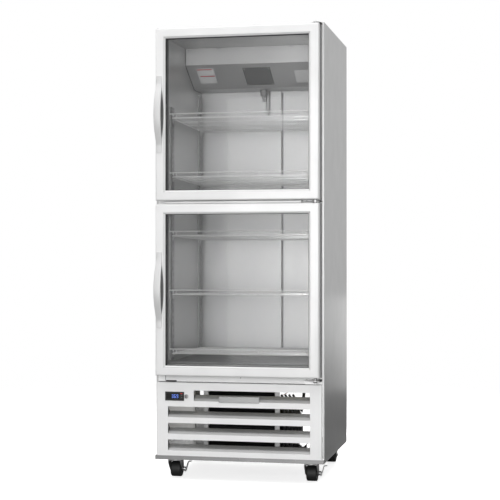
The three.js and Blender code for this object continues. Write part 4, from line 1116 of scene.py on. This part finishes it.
liquid = [(coil_half + 2, coil_front + 12, TUBE_ROWS[0]),
          (coil_half + 16, coil_front + 16, TUBE_ROWS[0] + 2),
          (coil_half + 30, coil_front + 60, TUBE_ROWS[0] + 8), (CAN_X - 118, CAN_Y - 92, can_low.z + 52),
          (CAN_X - 122, CAN_Y - 40, can_low.z + 60)]
p.tube(smooth_path(liquid, 8), 2.6, 10)
capillary = [(CAN_X - 122, CAN_Y + 62, can_low.z + 60), (CAN_X - 118, CAN_Y + 90, can_low.z + 70),
             (CAN_X - 100, CAN_Y + 150, can_low.z + 160), (125, CAN_Y + 214, 330), (155, CAN_Y + 228, 400)]
p.tube(smooth_path(capillary, 8), 1.4, 8)
p.finish("refrigerant_lines", copper, smooth=60)

# flexible sleeves that run beside the coil, from the rail behind the grille down to the deck
SLEEVES, SLEEVE_STEP = 5, 15.0
p = Piece()
for i in range(SLEEVES):
    x = coil_half + 26 + i * SLEEVE_STEP
    y = coil_rear - 4 + i * 5
    bow = [(x - 24, y, 346), (x - 10, y + 3, 318), (x + 4, y, 276), (x + 8, y - 3, 236), (x + 2, y, 196),
           (x - 12, y + 3, 150), (x - 22, y + 2, 112)]
    p.tube(smooth_path(bow, 5), 4.6, 12)
p.finish("wiring_sleeves", black_plastic, smooth=60)
p = Piece()
drier = [(2.6, -52), (8, -44), (9.4, -38), (9.4, 38), (8, 44), (2.6, 52)]
p.lathe(drier, (CAN_X - 122, CAN_Y + 10, can_low.z + 60), "y", 24)
p.finish("filter_drier", copper, smooth=35)

# clipped wiring from the electrical box to the compressor and the fan motor
box_low, box_high = box_mm("electrical_box")
p = Piece()
lead = [(box_high.x - 6, CAN_Y - 150, 238), (box_high.x + 24, CAN_Y - 150, 244), (-90, CAN_Y - 118, 300),
        (0, CAN_Y - 104, 322), (70, CAN_Y - 104, 318), (118, CAN_Y - 112, 268),
        (CAN_X - 16, CAN_Y - 112, can_base + 104), (CAN_X - 16, CAN_Y - 98, can_base + 98)]
for offset in (-4, 0, 4):
    p.tube(smooth_path([(x, y + offset * 0.8, z + offset) for x, y, z in lead], 6), 1.9, 8)
p.tube(smooth_path([(box_high.x - 6, CAN_Y - 168, 214), (box_high.x + 30, CAN_Y - 172, 214),
                    (-70, CAN_Y - 164, 224), (-30, CAN_Y - 160, 232), (-14, CAN_Y - 171, 236)], 6), 2.6, 8)
p.finish("unit_wiring", black_plastic, smooth=60)

p = Piece()
x0, x1, y0, y1 = box_low.x + 3, box_high.x - 3, box_low.y + 3, box_high.y - 22
p.box((x0, y0, box_low.z), (x1, y1, 288.4))
p.box((x0 - 2.6, y0 - 2.6, 288.8), (x1 + 2.6, y1 + 0.8, 293.8))
p.prism([(y0 - 2.4, 270), (y0, 270), (y0, 289), (y0 - 2.4, 289)], "x", x0 - 2.4, x1 + 2.4)
p.finish("control_box_shell", galvanised, replaces="electrical_box", bevel=0.0008)
p = Piece()
for x in (x0 + 12, x1 - 12):
    p.pan_head((x, y0 - 2.2, 279), "-y", 3.0, 1.2)
    for y in (y0 + 14, y1 - 14):
        p.pan_head((x, y, 293.6), "z", 3.0, 0.4)
for z in (116, 160):
    p.lathe([(11, 0), (11, -0.5), (9.6, -0.5), (9.4, 0)], ((x0 + x1) / 2, y0, z), "y", 24)
p.finish("control_box_screws", screw_steel, smooth=30)
p = Piece()
gland = [(11, 0.1), (11, 4), (8.5, 4.4), (8.5, 8), (10.8, 8.4), (10.8, 15), (9, 18), (6.5, 21.6),
         (4.4, 21.6), (4.2, 12)]
p.lathe(gland, ((x0 + x1) / 2, y1, 130), "y", 12)
p.finish("mains_gland", black_plastic, smooth=25)

pan_low, pan_high = box_mm("condensate_pan")
WALL, DRAFT, LIP = 2.4, 6.0, 5.0
rings = []
for inset, z in ((DRAFT, pan_low.z), (LIP - 1, pan_high.z - 2), (0, pan_high.z - 1.6), (0, pan_high.z),
                 (LIP, pan_high.z), (DRAFT + WALL, pan_low.z + WALL)):
    outline = rounded_rectangle(pan_low.x + inset, pan_high.x - inset, pan_low.y + inset,
                                pan_high.y - inset, 14)
    rings.append([(x, y, z) for x, y in outline])
p = Piece()
p.loft(rings)
p.finish("condensate_tray", white_plastic, replaces="condensate_pan", smooth=35)

# ---- casters ------------------------------------------------------------------------------------

TRAIL = 20.0
WHEEL_RADIUS = 32.0


def caster(name, braked):
    """Top plate with bolts, swivel race, pressed fork, wheel, and on the front pair a brake lever."""
    low, high = box_mm(f"{name}_caster_plate")
    cx, cy = (low.x + high.x) / 2, (low.y + high.y) / 2
    p = Piece()
    p.plate(low.x, high.x, low.y, high.y, 7, "z", low.z, high.z)
    p.finish(f"{name}_top_plate", zinc, replaces=f"{name}_caster_plate", bevel=0.0005)
    p = Piece()
    for dx in (-22, 22):
        for dy in (-22, 22):
            p.hex_head((cx + dx, cy + dy, low.z), "-z", 8, 3.0)
    p.finish(f"{name}_plate_bolts", screw_steel, smooth=30)

    # pressed fork: a domed cap over the race, and two legs that sweep back to the axle
    fork = f"{name}_fork"
    inner, outer = 24.5, 26.9
    p = Piece()
    cap = [(0, 80.8), (23.6, 80.8), (24, 79.2), (26, 78), (30.4, 77.4), (31, 75.6), (31, 71.4), (30, 70.1),
           (0, 70.1)]
    p.lathe(cap[::-1], (cx, cy, 0), "z", 48)
    leg = [(-24, 73.5), (-24.4, 64), (-20, 56), (4, 31)]
    leg += arc((TRAIL, WHEEL_RADIUS), 10.5, 215, 365, 10)
    leg += [(29.4, 42), (28, 58), (25, 66), (24, 73.5)]
    for side in (-1, 1):
        p.prism([(cy + u, v) for u, v in leg], "x", *sorted((cx + side * inner, cx + side * outer)))
        p.box((cx + side * (inner - 7), cy - 23.5, 69), (cx + side * outer, cy + 23.5, 73.2))
    p.finish(f"{name}_pressed_fork", zinc, fork, replaces=f"{name}_caster_fork", smooth=35, bevel=0.0007)
    axle = (cx, cy + TRAIL, WHEEL_RADIUS)
    p = Piece()
    p.lathe([(4, -inner - 1), (4, inner + 1)], axle, "x", 20)
    p.lathe([(5.2, -outer - 2.8), (6.2, -outer - 2), (6.2, -outer)], axle, "x", 6)
    reach = 34.8 if braked else outer + 2.9
    p.lathe([(3.6, outer), (3.6, reach - 0.2), (3.2, reach)], axle, "x", 20)
    if not braked:
        p.lathe([(6.2, outer), (6.2, outer + 2), (5.2, outer + 2.4)], axle, "x", 6)
    p.finish(f"{name}_axle_bolt", screw_steel, fork, smooth=30)

    # wheel: rounded tread on a moulded hub with a bearing boss
    radius = box_mm(f"{name}_caster_wheel")[1].z / 2
    p = Piece()
    half_tread = [(22, 19.5), (27, 21.3), (29.4, 20.9), (31.0, 19.2), (radius - 0.15, 16.4),
                  (radius - 0.02, 8)]
    tread = [(r, -u) for r, u in half_tread] + half_tread[::-1]
    p.lathe([*tread, tread[0]], axle, "x", 64)
    p.finish(f"{name}_tread", tread_rubber, f"{name}_wheel", replaces=f"{name}_caster_wheel", smooth=40)
    p = Piece()
    half_hub = [(4.4, 21.8), (9, 21.8), (9.6, 20.6), (9.6, 17), (19, 16), (22.1, 18.8)]
    hub = [(r, -u) for r, u in half_hub] + half_hub[::-1]
    p.lathe([*hub, hub[0]], axle, "x", 48)
    p.finish(f"{name}_wheel_hub", hub_plastic, f"{name}_wheel", smooth=35)

    if braked:
        # the lever: a hub on the axle, an arm leaning outwards, and a flat ribbed tab to step on
        p = Piece()
        p.lathe([(8.8, 27.5), (9, 28), (9, 33), (7.6, 37.6), (4.6, 37.9), (4.6, 27.5)], axle, "x", 32)
        arm = [(33.8, 20.4), (37.4, 20.4), (49.2, 60.4), (60.4, 61.8), (61, 62.6), (60.8, 64.6), (48, 63.8),
               (46.4, 62.6)]
        p.prism([(cx + u, v) for u, v in arm], "y", cy + TRAIL - 7.8, cy + TRAIL + 7.8)
        p.finish(f"{name}_lever", zinc, f"{name}_brake", replaces=f"{name}_brake_lever", smooth=35,
                 bevel=0.0006)
        p = Piece()
        for i in range(4):
            x = cx + 50 + 3.0 * i
            p.tube([(x, cy + TRAIL - 6.4, 64.15), (x, cy + TRAIL + 6.4, 64.15)], 0.55, 6)
        p.finish(f"{name}_lever_ribs", zinc, f"{name}_brake")


for caster_name in ("front_left", "front_right", "rear_left", "rear_right"):
    caster(caster_name, caster_name.startswith("front"))

# ---- stage, lights and camera -------------------------------------------------------------------

FLOOR_RADIUS, FLOOR_RINGS, FLOOR_SECTORS = 9.0, 10, 64


def floor_mesh():
    """A flat disc of rings and sectors."""
    bm = bmesh.new()
    centre = bm.verts.new((0, 0, 0))
    previous = None
    for k in range(1, FLOOR_RINGS + 1):
        radius = FLOOR_RADIUS * k / FLOOR_RINGS
        ring = [bm.verts.new((x, y, 0)) for x, y in circle(radius, FLOOR_SECTORS)]
        for i in range(FLOOR_SECTORS):
            j = (i + 1) % FLOOR_SECTORS
            if previous:
                bm.faces.new((previous[i], ring[i], ring[j], previous[j]))
            else:
                bm.faces.new((centre, ring[i], ring[j]))
        previous = ring
    mesh = bpy.data.meshes.new("studio_floor")
    bm.to_mesh(mesh)
    bm.free()
    return mesh


def make_floor():
    """A round pale floor that fades into the white surround."""
    floor = bpy.data.objects.new("studio_floor", floor_mesh())
    bpy.context.scene.collection.objects.link(floor)
    floor.location.z = -0.0004
    material = surface("studio_floor", 0.96, 0.85, 0.0, 60, relief=0.02, mottle=0.004)
    tree = material.node_tree
    shader = tree.nodes["Principled BSDF"]
    coordinates = add_node(tree, "TexCoord")
    length = add_node(tree, "VectorMath")
    length.operation = "LENGTH"
    fade = add_node(tree, "MapRange", From_Min=0.9, From_Max=4.0, To_Min=1.0, To_Max=0.0)
    fade.interpolation_type = "SMOOTHSTEP"
    link(coordinates, "Object", length, 0)
    link(length, "Value", fade, "Value")
    link(fade, "Result", shader, "Alpha")
    # the floor looks white, but gives back less light, as a far darker studio round it would
    path = add_node(tree, "LightPath")
    mix = add_node(tree, "MixRGB", Color1=display(0.5), Color2=display(0.97))
    link(path, "Is Camera Ray", mix, "Fac")
    link(mix, "Color", shader, "Base Color")
    set_inputs(shader, Emission_Color=(1, 1, 1, 1))
    glow = add_node(tree, "Math")
    glow.operation = "MULTIPLY"
    glow.inputs[1].default_value = 0.72
    link(path, "Is Camera Ray", glow, 0)
    link(glow, "Value", shader, "Emission Strength")
    floor.data.materials.append(material)


def make_world(up, level, down):
    """White where it is seen directly; softer grey, brighter overhead, where it lights the object."""
    world = bpy.data.worlds.new("studio")
    bpy.context.scene.world = world
    world.use_nodes = True
    tree = world.node_tree
    tree.nodes.clear()
    output = add_node(tree, "OutputWorld")
    seen = add_node(tree, "Background", Color=(1, 1, 1, 1), Strength=1.0)
    lit = add_node(tree, "Background")
    coordinates = add_node(tree, "TexCoord")
    split = add_node(tree, "SeparateXYZ")
    ramp = add_node(tree, "ValToRGB")
    rescale = add_node(tree, "MapRange", From_Min=-1.0, From_Max=1.0)
    for stop, position, grey in zip(ramp.color_ramp.elements, (0.3, 0.85), (down, up)):
        stop.position = position
        stop.color = (grey, grey, grey, 1)
    ramp.color_ramp.elements.new(0.52).color = (level, level, level, 1)
    path = add_node(tree, "LightPath")
    mix = add_node(tree, "MixShader")
    link(coordinates, "Generated", split, "Vector")
    link(split, "Z", rescale, "Value")
    link(rescale, "Result", ramp, "Fac")
    link(ramp, "Color", lit, "Color")
    link(path, "Is Camera Ray", mix, "Fac")
    link(lit, "Background", mix, 1)
    link(seen, "Background", mix, 2)
    link(mix, "Shader", output, "Surface")


def area_light(name, position, target, width, height, power):
    """A soft rectangular light, hidden from direct view."""
    data = bpy.data.lights.new(name, "AREA")
    data.shape = "RECTANGLE"
    data.size, data.size_y = width, height
    data.energy = power
    light = bpy.data.objects.new(name, data)
    bpy.context.scene.collection.objects.link(light)
    light.location = position
    direction = Vector(target) - Vector(position)
    light.rotation_euler = direction.to_track_quat("-Z", "Y").to_euler()
    light.visible_camera = False


make_floor()
make_world(up=0.55, level=0.34, down=0.2)
area_light("front_key", (0.4, -5.2, 1.1), (0, -0.3, 0.95), 3.2, 2.1, 122)
area_light("cavity_light", (0.272, -0.225, 1.12), (-0.3, -0.06, 1.12), 0.05, 1.2, 2.5)
area_light("rear_low_fill", (-0.1, 1.5, 0.45), (-0.3, 0, 0.25), 1.1, 0.5, 9)
area_light("overhead", (0.0, -0.8, 4.2), (0, 0, 0), 4.0, 4.0, 90)
area_light("right_rear_card", (3.1, 6.5, 2.1), (3.1, 0, 2.1), 4.2, 4.2, 49)

YAW, PITCH = math.radians(12.05), math.radians(0.29)
camera_data = bpy.data.cameras.new("photo_view")
camera_data.sensor_width = 36.0
camera_data.lens = 95.18
camera = bpy.data.objects.new("photo_view", camera_data)
bpy.context.scene.collection.objects.link(camera)
camera.location = (1.1538, -5.4723, 0.907)
camera.rotation_euler = (math.pi / 2 + PITCH, 0.0, YAW)
bpy.context.scene.camera = camera
bpy.context.scene.view_settings.view_transform = "Standard"
